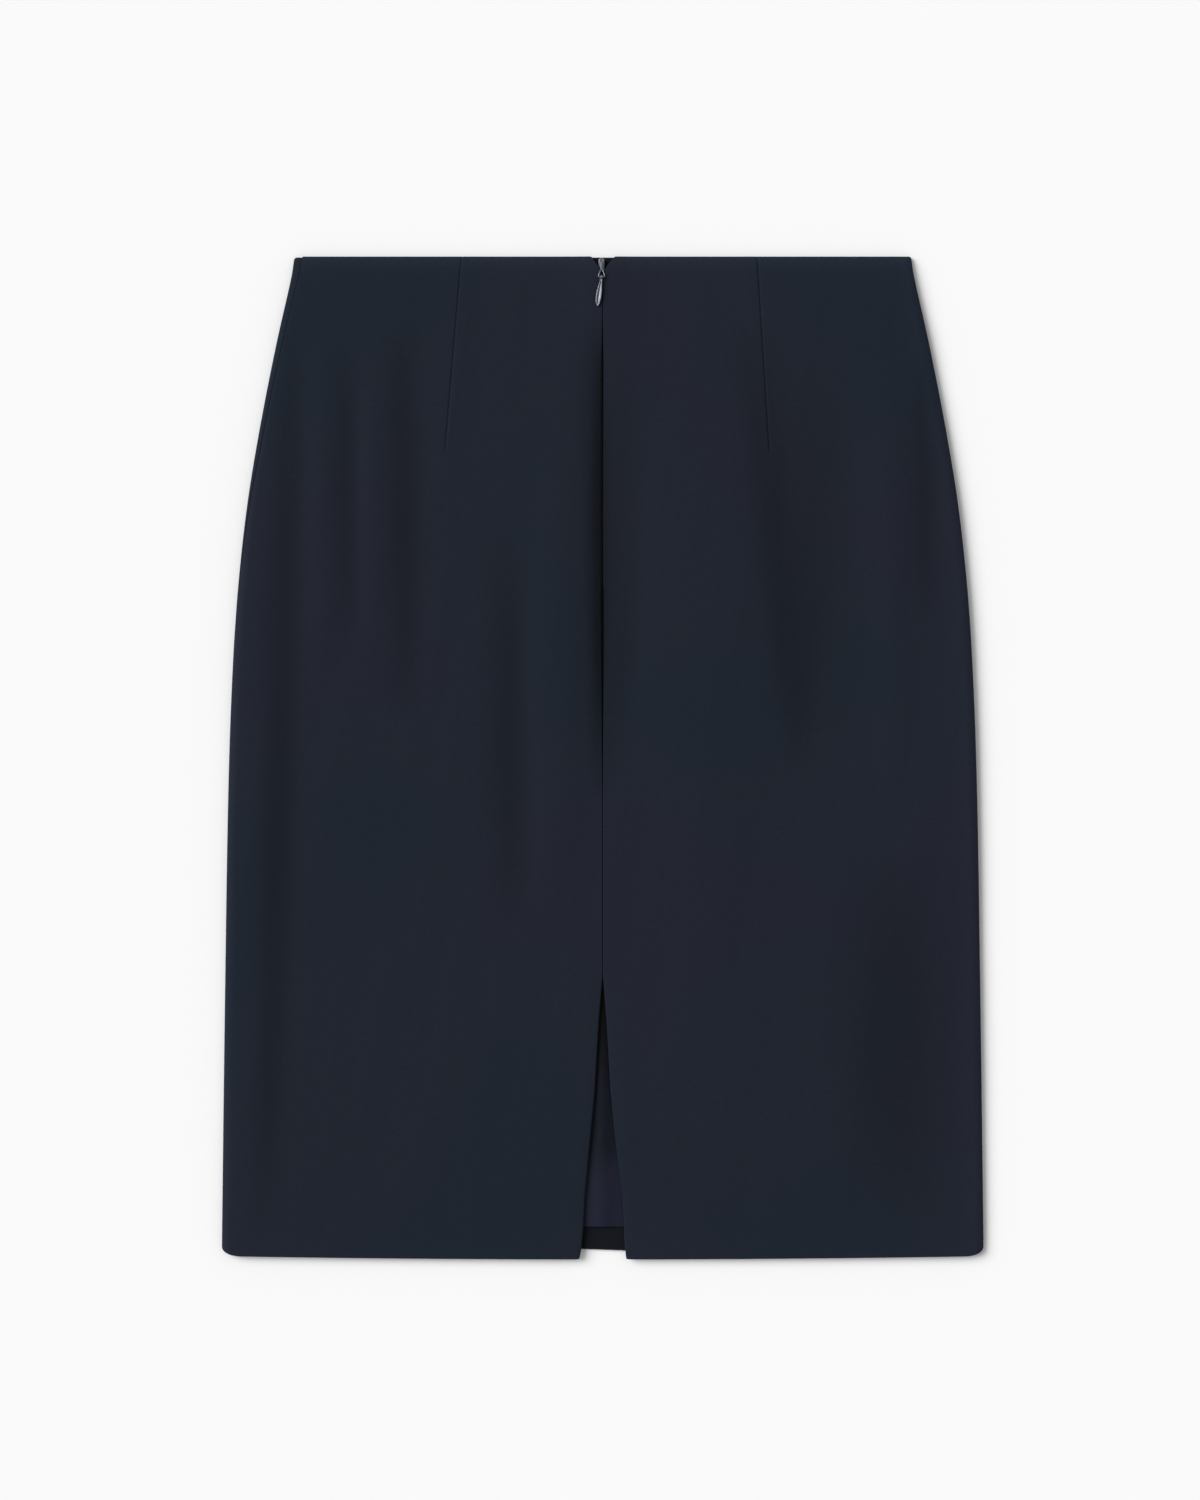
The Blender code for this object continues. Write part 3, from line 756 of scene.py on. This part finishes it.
def border_values(sheet, top, far_side, bottom, near_side):
    """Values round a sheet's border: its first row, last column, last row and first column.

    A side's value is a number or a function of the distance down, in metres.
    """
    rows, columns = sheet.points.shape[:2]
    values = []
    for row, column in border_of(sheet.points):
        down = sheet.flat[row, column, 1] / MM
        if row == 0 and column < columns - 1:
            value = top
        elif column == columns - 1 and row < rows - 1:
            value = far_side
        elif row == rows - 1 and column > 0:
            value = bottom
        else:
            value = near_side
        values.append(float(value(down)) if callable(value) else value)
    values = np.array(values) * MM
    for _ in range(3):
        values = (np.roll(values, 1) + 2 * values + np.roll(values, -1)) / 4
    return values


# ---------------------------------------------------------------- materials


def add_node(tree, kind, values=None, **settings):
    """Add a node, set its settings and fill or link its inputs."""
    node = tree.nodes.new(kind)
    for key, value in settings.items():
        setattr(node, key, value)
    for key, value in (values or {}).items():
        if isinstance(value, bpy.types.NodeSocket):
            tree.links.new(value, node.inputs[key])
        else:
            node.inputs[key].default_value = value
    return node


def calc(tree, operation, first, second=0.0, third=0.0):
    """Add a Math node and return its output."""
    return add_node(tree, "ShaderNodeMath", {0: first, 1: second, 2: third}, operation=operation).outputs[0]


def blend_colour(tree, factor, first, second):
    """Mix two colours and return the output."""
    node = add_node(tree, "ShaderNodeMix", data_type="RGBA", clamp_factor=True)
    for index, value in ((0, factor), (6, first), (7, second)):
        if isinstance(value, bpy.types.NodeSocket):
            tree.links.new(value, node.inputs[index])
        else:
            node.inputs[index].default_value = value
    return node.outputs[2]


def speckled(tree, grain, tint, dark, light):
    """Vary a colour between a darker and a lighter tone by a grain."""
    tones = [(*[part * tone for part in tint], 1.0) for tone in (dark, light)]
    return blend_colour(tree, grain, *tones)


def noise(tree, vector, scale, detail=2.0, roughness=0.5):
    """Add a noise texture and return its factor."""
    values = {"Vector": vector, "Scale": scale, "Detail": detail, "Roughness": roughness}
    return add_node(tree, "ShaderNodeTexNoise", values).outputs["Fac"]


def remap(tree, value, start, end):
    """Move a value smoothly from one range to another."""
    values = {"Value": value, "From Min": start[0], "From Max": start[1], "To Min": end[0], "To Max": end[1]}
    return add_node(tree, "ShaderNodeMapRange", values, interpolation_type="SMOOTHSTEP").outputs[0]


def new_group(name, inputs, outputs):
    """Start a node group with named inputs and outputs."""
    tree = bpy.data.node_groups.new(name, "ShaderNodeTree")
    for socket, kind, value in inputs:
        made = tree.interface.new_socket(socket, in_out="INPUT", socket_type=kind)
        if value is not None:
            made.default_value = value
    for socket, kind in outputs:
        tree.interface.new_socket(socket, in_out="OUTPUT", socket_type=kind)
    return tree, tree.nodes.new("NodeGroupInput"), tree.nodes.new("NodeGroupOutput")


def weave_group():
    """Threads of a woven cloth: a height and a tone that changes from thread to thread."""
    if "Woven threads" in bpy.data.node_groups:
        return bpy.data.node_groups["Woven threads"]
    tree, source, result = new_group(
        "Woven threads",
        (
            ("Vector", "NodeSocketVector", None),
            ("Pitch", "NodeSocketFloat", 0.0004),
            ("Crepe", "NodeSocketFloat", 0.5),
            ("Slub", "NodeSocketFloat", 0.5),
        ),
        (("Height", "NodeSocketFloat"), ("Tone", "NodeSocketFloat")),
    )
    vector, pitch = source.outputs["Vector"], source.outputs["Pitch"]
    parts = add_node(tree, "ShaderNodeSeparateXYZ", {0: vector})
    wander = noise(tree, vector, 900.0, 1.0)
    wander = calc(tree, "MULTIPLY", calc(tree, "SUBTRACT", wander, 0.5), 2.6)
    turn = calc(tree, "DIVIDE", math.pi, pitch)
    warp = calc(tree, "SINE", calc(tree, "MULTIPLY_ADD", parts.outputs[0], turn, wander))
    weft = calc(tree, "SINE", calc(tree, "MULTIPLY_ADD", parts.outputs[1], turn, wander))
    over = calc(tree, "MULTIPLY", warp, weft)
    plain = calc(tree, "MULTIPLY_ADD", over, 0.5, 0.5)
    pebble = noise(tree, vector, 1500.0, 2.0, 0.6)
    streaks = {0: vector, 1: (160.0, 2400.0, 1.0)}
    across = add_node(tree, "ShaderNodeVectorMath", streaks, operation="MULTIPLY")
    slub = noise(tree, across.outputs[0], 1.0, 2.0, 0.6)
    blotch = noise(tree, vector, 320.0, 3.0, 0.65)
    height = calc(tree, "MULTIPLY_ADD", pebble, source.outputs["Crepe"], plain)
    tone = calc(tree, "MULTIPLY_ADD", calc(tree, "SUBTRACT", slub, 0.5), source.outputs["Slub"], 1.0)
    tone = calc(tree, "MULTIPLY_ADD", calc(tree, "SUBTRACT", blotch, 0.5), 0.30, tone)
    tone = calc(tree, "MULTIPLY_ADD", calc(tree, "SUBTRACT", plain, 0.5), 0.20, tone)
    tree.links.new(height, result.inputs["Height"])
    tree.links.new(tone, result.inputs["Tone"])
    return tree


def toned(tree, colour, tone):
    """Multiply a colour by a tone."""
    node = add_node(tree, "ShaderNodeVectorMath", operation="SCALE")
    tree.links.new(colour, node.inputs[0])
    tree.links.new(tone, node.inputs["Scale"])
    return node.outputs[0]


def new_material(name):
    """Start a material; returns it with its tree and its Principled shader."""
    material = bpy.data.materials.new(name)
    material.use_nodes = True
    tree = material.node_tree
    return material, tree, tree.nodes["Principled BSDF"]


def set_shader(shader, **values):
    """Set constant sockets of a Principled shader by name."""
    for key, value in values.items():
        shader.inputs[key.replace("_", " ")].default_value = value


def bump(tree, shader, height, strength, distance):
    """Feed a height into the shader's normal."""
    node = add_node(tree, "ShaderNodeBump", {"Height": height, "Strength": strength, "Distance": distance})
    tree.links.new(node.outputs["Normal"], shader.inputs["Normal"])


def suiting_material(name, shade):
    """Matte worsted crepe with a fine weave, a slow drift of tone and painted light and shade read from the
    mesh; its colour is scaled by shade, which makes a darker copy with painted shade.
    """
    if name in bpy.data.materials:
        return bpy.data.materials[name]
    settings = bpy.context.scene.skirt_cloth
    material, tree, shader = new_material(name)
    uv = add_node(tree, "ShaderNodeUVMap", uv_map="cloth").outputs[0]
    place = add_node(tree, "ShaderNodeTexCoord").outputs["Object"]
    weave = add_node(tree, "ShaderNodeGroup", node_tree=weave_group())
    tree.links.new(uv, weave.inputs["Vector"])
    weave.inputs["Pitch"].default_value = settings.thread_pitch
    weave.inputs["Crepe"].default_value = 0.9
    weave.inputs["Slub"].default_value = 0.34
    drift = noise(tree, place, 5.5, 1.0, 0.4)
    drift = remap(tree, drift, (0.36, 0.64), (0.0, 1.0))
    first = [part * shade for part in settings.cloth_colour]
    second = [part * shade for part in settings.cloth_tint]
    base = blend_colour(tree, drift, (*first, 1.0), (*second, 1.0))
    # Painted light and shade from the mesh's flat attribute: lighter edges and side rims, darker fold
    # troughs.
    flat = add_node(tree, "ShaderNodeAttribute", attribute_name="flat").outputs["Vector"]
    painted_light = add_node(tree, "ShaderNodeSeparateXYZ", {0: flat}).outputs[2]
    tone = calc(tree, "MULTIPLY", calc(tree, "MULTIPLY_ADD", painted_light, 0.42, 1.0), weave.outputs["Tone"])
    tree.links.new(toned(tree, base, tone), shader.inputs["Base Color"])
    set_shader(shader, Roughness=0.85, Specular_IOR_Level=0.12, Sheen_Weight=0.20, Sheen_Roughness=0.22)
    shader.inputs["Sheen Tint"].default_value = (0.55, 0.60, 0.75, 1.0)
    bump(tree, shader, weave.outputs["Height"], 0.55, 0.00012)
    return material


def suiting_pair():
    """Suiting for a piece's face, and a darker copy with painted shade for its turnings."""
    # The turnings' copy is darkened to 0.35 as painted shade.
    return suiting_material("Suiting", 1.0), suiting_material("Suiting wrong side", 0.35)


def lining_material():
    """Satin lining with a soft sheen and fine threads down its length, and painted shade that darkens it
    towards the top of the vent.
    """
    settings = bpy.context.scene.skirt_cloth
    material, tree, shader = new_material("Lining satin")
    uv = add_node(tree, "ShaderNodeUVMap", uv_map="cloth").outputs[0]
    weave = add_node(tree, "ShaderNodeGroup", node_tree=weave_group())
    tree.links.new(uv, weave.inputs["Vector"])
    weave.inputs["Pitch"].default_value = 0.00016
    weave.inputs["Crepe"].default_value = 0.2
    weave.inputs["Slub"].default_value = 0.18
    base = add_node(tree, "ShaderNodeRGB")
    base.outputs[0].default_value = (*settings.lining_colour, 1.0)
    # Painted shade: the lining darkens towards the top of the vent, and a painted highlight lightens its
    # lower part.
    down = add_node(tree, "ShaderNodeSeparateXYZ", {0: uv}).outputs[1]
    upper = remap(tree, down, (0.460, 0.525), (0.03, 0.70))
    lower = remap(tree, down, (0.545, 0.575), (0.0, 0.75))
    shade = calc(tree, "MULTIPLY", calc(tree, "ADD", upper, lower), weave.outputs["Tone"])
    tree.links.new(toned(tree, base.outputs[0], shade), shader.inputs["Base Color"])
    set_shader(shader, Roughness=0.5, Specular_IOR_Level=0.09)
    bump(tree, shader, weave.outputs["Height"], 0.3, 0.00003)
    return material


def thread_material(name, tint, roughness):
    """Twisted sewing thread or zip tape."""
    if name in bpy.data.materials:
        return bpy.data.materials[name]
    material, tree, shader = new_material(name)
    place = add_node(tree, "ShaderNodeTexCoord").outputs["Object"]
    grain = noise(tree, place, 4200.0, 2.0)
    base = speckled(tree, grain, tint, 0.7, 1.3)
    tree.links.new(base, shader.inputs["Base Color"])
    set_shader(shader, Roughness=roughness, Specular_IOR_Level=0.3)
    bump(tree, shader, grain, 0.4, 0.00006)
    return material


def enamel_material():
    """Blue-grey enamel on the zip's metal, with a fine speckle."""
    if "Zip enamel" in bpy.data.materials:
        return bpy.data.materials["Zip enamel"]
    settings = bpy.context.scene.skirt_zip
    material, tree, shader = new_material("Zip enamel")
    place = add_node(tree, "ShaderNodeTexCoord").outputs["Object"]
    speck = noise(tree, place, 2600.0, 3.0, 0.6)
    base = speckled(tree, speck, settings.metal_colour, 0.8, 1.25)
    tree.links.new(base, shader.inputs["Base Color"])
    rough = calc(tree, "MULTIPLY_ADD", speck, 0.18, 0.24)
    tree.links.new(rough, shader.inputs["Roughness"])
    set_shader(shader, Metallic=0.65, Coat_Weight=0.4, Coat_Roughness=0.2)
    bump(tree, shader, speck, 0.15, 0.00003)
    return material


# ---------------------------------------------------------------- zip parts

ZIP_X = -0.7
KNOB_DOWN = 3.1
KNOB_MIDDLE = 1.075
KNOB_SECTION = (0.475, 0.5)
BODY_ENDS = (2.0, 9.6)
BODY_HALF_WIDTH = 1.85
STEM_ENDS = (4.4, 6.8)
BRIDGE_ENDS = (4.2, 9.4)
BRIDGE_HALF_WIDTH = 0.6
BAIL_WIRE = 0.36
BAIL_HALF_WIDTH = 1.8
BAIL_TOP = 8.6
PULL_LENGTH = 18.0
PULL_HALF_WIDTH = 1.80
PULL_NECK = 0.60
PULL_WIDEST = 0.62
PULL_THICKNESS = 1.0
PULL_TILT = math.radians(8.5)
PULL_STATIONS = 40
EYE_MIDDLE = 0.925
EYE_SECTION = (0.62, 0.27)
TAPE_ENDS = (11.5, 205.0)
TAPE_WIDTH = 12.4
TAPE_START = 0.5
TAPE_DROP = 1.65
TAPE_THICKNESS = 0.35
COIL_CENTRE = 0.62
COIL_DROP = 2.30
COIL_RADIUS = 0.42
COIL_WIRE = 0.16
COIL_POINTS = 10

LegRow = namedtuple("LegRow", "along out")
BAIL_LEG = (LegRow(0.0, 0.12), LegRow(0.3, 0.55), LegRow(0.65, 0.92), LegRow(0.93, 1.0), LegRow(1.0, 0.8))

# The pull's section round its edge, as shares of half width and thickness; slot is 1 in the slot
RimRow = namedtuple("RimRow", "across height slot")
PULL_RIM = (
    RimRow(-1.0, 0.0, 0),
    RimRow(-0.95, 0.30, 0),
    RimRow(-0.80, 0.48, 0),
    RimRow(-0.62, 0.48, 0),
    RimRow(-0.46, 0.34, 0),
    RimRow(-0.40, 0.30, 1),
    RimRow(0.0, 0.30, 1),
    RimRow(0.40, 0.30, 1),
    RimRow(0.46, 0.34, 0),
    RimRow(0.62, 0.48, 0),
    RimRow(0.80, 0.48, 0),
    RimRow(0.95, 0.30, 0),
    RimRow(1.0, 0.0, 0),
    RimRow(0.80, -0.45, 0),
    RimRow(0.0, -0.48, 0),
    RimRow(-0.80, -0.45, 0),
)


def place(across, down, height):
    """Point in metres for a place on the skirt in millimetres."""
    return Vector((across * MM, WAIST_Y - down * MM, height * MM))


def face_height(across, down):
    """Height of the back's upper face at one place."""
    column = "left" if across < 0 else "right"
    down = np.array([float(down)])
    inner = straight_value(CENTRE_LINE, column, down)
    across = np.array([float(across)])
    side = -1 if across[0] < 0 else 1
    return float(back_face(side, across, down, np.maximum(np.abs(across) - inner, 0))[0])


def add_tube(bm, points, radius, sides):
    """Sweep a round section along points, with closed ends."""
    ring = bmesh.ops.create_circle(bm, segments=sides, radius=radius, cap_ends=True)["verts"]
    edges = list(ring[0].link_faces[0].edges)
    shape = [vert.co.copy() for vert in ring]
    order = {vert: index for index, vert in enumerate(ring)}
    for index, point in enumerate(points):
        before = points[max(index - 1, 0)]
        after = points[min(index + 1, len(points) - 1)]
        turn = (after - before).to_track_quat("Z", "X")
        if index:
            _, edges, order = extrude_ring(bm, edges, order)
        for vert, number in order.items():
            vert.co = point + turn @ shape[number]
    bmesh.ops.edgeloop_fill(bm, edges=edges)


def add_ring(bm, centre, axis, middle, section, steps):
    """Spin an oval section about an axis through a centre; section is across and along it."""
    out = Vector((1, 0, 0)) if axis.z > 0.5 else Vector((0, 1, 0))
    verts = bmesh.ops.create_circle(bm, segments=12, radius=1.0)["verts"]
    for vert in verts:
        wide, tall = vert.co.x * section[0], vert.co.y * section[1]
        vert.co = centre + out * (middle + wide) + axis * tall
    edges = list({edge for vert in verts for edge in vert.link_edges})
    geom = verts + edges
    bmesh.ops.spin(bm, geom=geom, cent=centre, axis=axis, angle=math.tau, steps=steps, use_merge=True)


def add_block(bm, low, high, rounding):
    """Add a block between two corners with rounded edges."""
    size = high - low
    matrix = Matrix.Translation((low + high) / 2) @ Matrix.Diagonal((*size, 1.0))
    verts = bmesh.ops.create_cube(bm, size=1.0, matrix=matrix)["verts"]
    edges = list({edge for vert in verts for edge in vert.link_edges})
    bmesh.ops.bevel(bm, geom=edges, offset=rounding, affect="EDGES", segments=3, profile=0.5, material=-1)


def close_shape(bm):
    """Merge a closed shape's seams and point its faces outwards."""
    bmesh.ops.remove_doubles(bm, verts=bm.verts, dist=2e-6)
    bmesh.ops.recalc_face_normals(bm, faces=bm.faces)


def pull_width(share):
    """Half the width of the pull's teardrop at a share of its length."""
    if share < PULL_WIDEST:
        return PULL_NECK + (PULL_HALF_WIDTH - PULL_NECK) * float(ease(share / PULL_WIDEST))
    reach = (share - PULL_WIDEST) / (1 - PULL_WIDEST)
    return PULL_HALF_WIDTH * math.sqrt(max(1 - reach * reach, 0.0))


def add_blade(bm):
    """Sweep the pull's section along its teardrop, with a slot down the middle."""
    tip = PIVOT + Vector((-math.sin(PULL_TILT), -math.cos(PULL_TILT), 0)) * PULL_LENGTH * MM
    tip_down = (WAIST_Y - tip.y) / MM
    tip.z = (face_height(tip.x / MM, tip_down) + 0.75 + PULL_THICKNESS / 2) * MM
    along = tip - PIVOT
    out = Vector((along.y, -along.x, 0.0)).normalized()
    up = Vector((0, 0, 1))
    ring = bmesh.ops.create_circle(bm, segments=len(PULL_RIM), radius=1.0, cap_ends=True)["verts"]
    edges = list(ring[0].link_faces[0].edges)
    walk = [ring[0]]
    while len(walk) < len(ring):
        around = [edge.other_vert(walk[-1]) for edge in walk[-1].link_edges]
        walk.append(next(vert for vert in around if vert not in walk))
    order = {vert: index for index, vert in enumerate(walk)}
    for index in range(PULL_STATIONS + 1):
        share = 0.055 + (0.9985 - 0.055) * math.sin(index / PULL_STATIONS * math.pi / 2)
        width = pull_width(share) * MM
        if index:
            _, edges, order = extrude_ring(bm, edges, order)
        slot = float(ease((share - 0.16) / 0.05) * ease((0.90 - share) / 0.05))
        for vert, number in order.items():
            rim = PULL_RIM[number]
            height = rim.height - 0.42 * rim.slot * slot
            lift = up * PULL_THICKNESS * MM * height
            vert.co = PIVOT + along * share + out * width * rim.across + lift
    bmesh.ops.edgeloop_fill(bm, edges=edges)


# ---------------------------------------------------------------- operators


class SkirtOperator(Operator):
    """Shared behaviour of the skirt's operators."""

    bl_options = {"REGISTER", "UNDO"}


class SKIRT_OT_back(SkirtOperator):
    """Build the two back panels with their darts, seam and open vent"""

    bl_idname = "skirt.back"
    bl_label = "Back Panels"

    def execute(self, context):
        thickness = context.scene.skirt_cloth.thickness
        materials = suiting_pair()
        for side, name in ((-1, "left"), (1, "right")):
            sheet = orient(back_sheet(side), (0, 0, 1))
            roll = partial(straight_value, CENTRE_LINE, "roll")
            roll = border_values(sheet, WAIST_ROLL, SIDE_ROLL, HEM_ROLL, roll)
            turn = partial(straight_value, CENTRE_LINE, "turning")
            turning = border_values(sheet, WAIST_TURNING, SIDE_TURNING, HEM_TURNING, turn)
            piece = make_cloth(f"back_{name}_cloth", sheet, roll, turning, thickness, materials)
            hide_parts(f"back_panel_{name}")
        return {"FINISHED"}


class SKIRT_OT_front(SkirtOperator):
    """Build the front panel that lies under the skirt"""

    bl_idname = "skirt.front"
    bl_label = "Front Panel"

    def execute(self, context):
        sheet = orient(front_sheet(), (0, 0, -1))
        roll = border_values(sheet, WAIST_ROLL, SIDE_ROLL, HEM_ROLL, SIDE_ROLL)
        turning = border_values(sheet, WAIST_TURNING, SIDE_TURNING, FRONT_HEM_TURNING, SIDE_TURNING)
        thickness = context.scene.skirt_cloth.thickness
        piece = make_cloth("front_cloth", sheet, roll, turning, thickness, suiting_pair())
        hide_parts("front_panel")
        return {"FINISHED"}


class SKIRT_OT_lining(SkirtOperator):
    """Build the front lining that the vent shows"""

    bl_idname = "skirt.lining"
    bl_label = "Front Lining"

    def execute(self, context):
        sheet = orient(lining_sheet(), (0, 0, 1))
        roll = border_values(sheet, 0.15, 0.15, 0.28, 0.15)
        turning = border_values(sheet, 2, 2, 14, 2)
        thickness = context.scene.skirt_cloth.lining_thickness
        satin = lining_material()
        piece = make_cloth("front_lining", sheet, roll, turning, thickness, (satin, satin))
        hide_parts("lining_front")
        return {"FINISHED"}


class SKIRT_OT_stitches(SkirtOperator):
    """Sew the back darts with rows of short stitches"""

    bl_idname = "skirt.stitches"
    bl_label = "Dart Stitches"

    def execute(self, context):
        settings = context.scene.skirt_cloth
        material = thread_material("Sewing thread", settings.thread_colour, 0.6)
        step = settings.stitch_length / MM
        for side, name in ((-1, "left"), (1, "right")):
            bm = bmesh.new()
            start = STITCH_START
            while start < DARTS[side].tip - step:
                points = []
                for row in STITCH:
                    down = start + step * row.along
                    across = side * float(dart_line(side, down))
                    points.append(place(across, down, face_height(across, down) - row.dip + STITCH_LIFT))
                add_tube(bm, points, STITCH_RADIUS * MM, STITCH_SIDES)
                start += step
            close_shape(bm)
            add_piece(f"dart_stitches_{name}", bm, CLOTH_BODY, material)
        return {"FINISHED"}


class SKIRT_OT_zip(SkirtOperator):
    """Build the zip: tapes with their coil, slider and pull"""

    bl_idname = "skirt.zip"
    bl_label = "Zip"

    def execute(self, context):
        settings = context.scene.skirt_zip
        tape = thread_material("Zip tape", settings.tape_colour, 0.75)
        for side, name in ((-1, "left"), (1, "right")):
            self.make_tape(settings, side, name, tape)
        self.make_slider()
        self.make_pull()
        return {"FINISHED"}

    def make_tape(self, settings, side, name, material):
        """Make one tape and the turns of its coil along the centre."""
        bm = bmesh.new()
        columns, rows = 6, 60
        bmesh.ops.create_grid(bm, x_segments=columns, y_segments=rows, size=0.5)
        for vert in bm.verts:
            across = side * (TAPE_START + (TAPE_WIDTH - TAPE_START) * (vert.co.x + 0.5))
            down = TAPE_ENDS[0] + (TAPE_ENDS[1] - TAPE_ENDS[0]) * (vert.co.y + 0.5)
            vert.co = place(across, down, face_height(across, down) - TAPE_DROP)
        bmesh.ops.solidify(bm, geom=bm.faces[:], thickness=TAPE_THICKNESS * MM)
        pitch = settings.coil_pitch / MM
        turns = int((TAPE_ENDS[1] - TAPE_ENDS[0]) / pitch)
        points = []
        for index in range(turns * COIL_POINTS + 1):
            angle = math.tau * index / COIL_POINTS
            down = TAPE_ENDS[0] + 0.3 + (pitch * index / COIL_POINTS) * 0.998
            across = side * (COIL_CENTRE + COIL_RADIUS * math.cos(angle))
            height = face_height(side * COIL_CENTRE, down) - COIL_DROP + COIL_RADIUS * math.sin(angle)
            points.append(place(across, down, height))
        add_tube(bm, points, COIL_WIRE * MM, 5)
        close_shape(bm)
        piece = add_piece(f"zip_tape_and_coil_{name}", bm, CLOTH_BODY, material)
        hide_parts(f"zip_tape_{name}")

    def make_slider(self):
        """Make the slider's body, stem, bridge, ring and bail."""
        bm = bmesh.new()
        bridge_low = (face_height(ZIP_X, BAIL_TOP) + 0.3) * MM
        body_high = place(ZIP_X, KNOB_DOWN, face_height(ZIP_X, KNOB_DOWN) - 1.8).z
        half = BODY_HALF_WIDTH
        low, high = place(ZIP_X - half, BODY_ENDS[1], 0), place(ZIP_X + half, BODY_ENDS[0], 0)
        low.z, high.z = body_high - 1.5 * MM, body_high
        add_block(bm, low, high, 0.35 * MM)
        low, high = place(ZIP_X - 0.45, STEM_ENDS[1], 0), place(ZIP_X + 0.45, STEM_ENDS[0], 0)
        low.z, high.z = body_high - 0.2 * MM, bridge_low + 0.2 * MM
        add_block(bm, low, high, 0.12 * MM)
        half = BRIDGE_HALF_WIDTH
        low, high = place(ZIP_X - half, BRIDGE_ENDS[1], 0), place(ZIP_X + half, BRIDGE_ENDS[0], 0)
        low.z, high.z = bridge_low, bridge_low + 0.95 * MM
        add_block(bm, low, high, 0.25 * MM)
        centre = place(ZIP_X, KNOB_DOWN, 0)
        centre.z = bridge_low + 0.55 * MM
        section = (KNOB_SECTION[0] * MM, KNOB_SECTION[1] * MM)
        add_ring(bm, centre, Vector((0, 0, 1)), KNOB_MIDDLE * MM, section, 40)
        start = place(ZIP_X, BAIL_TOP, 0)
        start.z = bridge_low + 0.55 * MM
        points = []
        for side, legs in ((-1, BAIL_LEG), (1, BAIL_LEG[::-1])):
            for row in legs:
                point = start.lerp(PIVOT, row.along)
                points.append(point + Vector((side * row.out * BAIL_HALF_WIDTH * MM, 0, 0)))
        add_tube(bm, points, BAIL_WIRE * MM, 10)
        close_shape(bm)
        piece = add_piece("slider_metal", bm, CLOTH_BODY, enamel_material())
        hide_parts("zip_slider")

    def make_pull(self):
        """Make the pull: its blade and the eye round the bail's bar."""
        bm = bmesh.new()
        add_blade(bm)
        section = (EYE_SECTION[1] * MM, EYE_SECTION[0] * MM)
        add_ring(bm, PIVOT, Vector((1, 0, 0)), EYE_MIDDLE * MM, section, 28)
        close_shape(bm)
        piece = add_piece("pull_metal", bm, PULL_BODY, enamel_material())
        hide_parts("zip_pull")


FLOOR_HALF_SIZE = 3.0
FLOOR_HEIGHT = -0.0003
KEY_PLACE = (-1.40, 0.64, 1.28)
SENSOR = 36.0
CLOTH_TOP = 0.006


class SKIRT_OT_stage(SkirtOperator):
    """Add the floor, the light and the camera above it"""

    bl_idname = "skirt.stage"
    bl_label = "Stage"

    def execute(self, context):
        settings = context.scene.skirt_stage
        bm = bmesh.new()
        bmesh.ops.create_grid(bm, x_segments=1, y_segments=1, size=FLOOR_HALF_SIZE)
        bmesh.ops.translate(bm, verts=bm.verts, vec=(0, 0, FLOOR_HEIGHT))
        mesh = bpy.data.meshes.new("floor")
        bm.to_mesh(mesh)
        bm.free()
        floor = bpy.data.objects.new("floor", mesh)
        context.scene.collection.objects.link(floor)
        material, _, shader = new_material("Plain floor")
        set_shader(shader, Roughness=0.95, Specular_IOR_Level=0.1)
        shader.inputs["Base Color"].default_value = (*settings.floor_colour, 1.0)
        mesh.materials.append(material)
        world = bpy.data.worlds.new("Even light")
        world.use_nodes = True
        back = world.node_tree.nodes["Background"]
        back.inputs["Color"].default_value = (1.0, 1.0, 1.0, 1.0)
        back.inputs["Strength"].default_value = settings.fill_strength
        context.scene.world = world
        data = bpy.data.lights.new("Key", "SUN")
        data.angle = settings.key_spread
        data.energy = settings.key_strength
        key = bpy.data.objects.new("Key", data)
        key.location = KEY_PLACE
        key.rotation_euler = (-Vector(key.location)).to_track_quat("-Z", "Y").to_euler()
        context.scene.collection.objects.link(key)
        camera = bpy.data.cameras.new("Camera")
        camera.lens = settings.lens
        camera.sensor_width = SENSOR
        shot = bpy.data.objects.new("Camera", camera)
        distance = settings.view_height * settings.lens / camera.sensor_width
        shot.location = (settings.aim_x, settings.aim_y, distance + CLOTH_TOP)
        context.scene.collection.objects.link(shot)
        context.scene.camera = shot
        context.scene.view_settings.view_transform = "Standard"
        return {"FINISHED"}


class SKIRT_PT_panel(Panel):
    """Sidebar panel with the skirt's settings and its steps"""

    bl_idname = "SKIRT_PT_panel"
    bl_label = "Pencil Skirt"
    bl_space_type = "VIEW_3D"
    bl_region_type = "UI"
    bl_category = "Skirt"

    def draw(self, context):
        scene = context.scene
        for settings in (scene.skirt_cloth, scene.skirt_zip, scene.skirt_stage):
            box = self.layout.box()
            for key in settings.bl_rna.properties.keys():
                if key not in ("rna_type", "name"):
                    box.prop(settings, key)
        for step in STEPS:
            self.layout.operator(step.bl_idname)


STEPS = (SKIRT_OT_back, SKIRT_OT_front, SKIRT_OT_lining, SKIRT_OT_stitches, SKIRT_OT_zip, SKIRT_OT_stage)
SETTINGS = (
    ("skirt_cloth", SkirtClothSettings),
    ("skirt_zip", SkirtZipSettings),
    ("skirt_stage", SkirtStageSettings),
)


def register():
    """Register the settings, operators and panel."""
    for name, kind in SETTINGS:
        bpy.utils.register_class(kind)
        setattr(bpy.types.Scene, name, PointerProperty(type=kind))
    for kind in (*STEPS, SKIRT_PT_panel):
        bpy.utils.register_class(kind)


def unregister():
    """Remove what register added."""
    for kind in reversed((*STEPS, SKIRT_PT_panel)):
        bpy.utils.unregister_class(kind)
    for name, kind in reversed(SETTINGS):
        delattr(bpy.types.Scene, name)
        bpy.utils.unregister_class(kind)


def main():
    """Register the add-on and run its steps in order."""
    register()
    for step in STEPS:
        group, name = step.bl_idname.split(".")
        getattr(getattr(bpy.ops, group), name)()


if __name__ == "__main__":
    main()
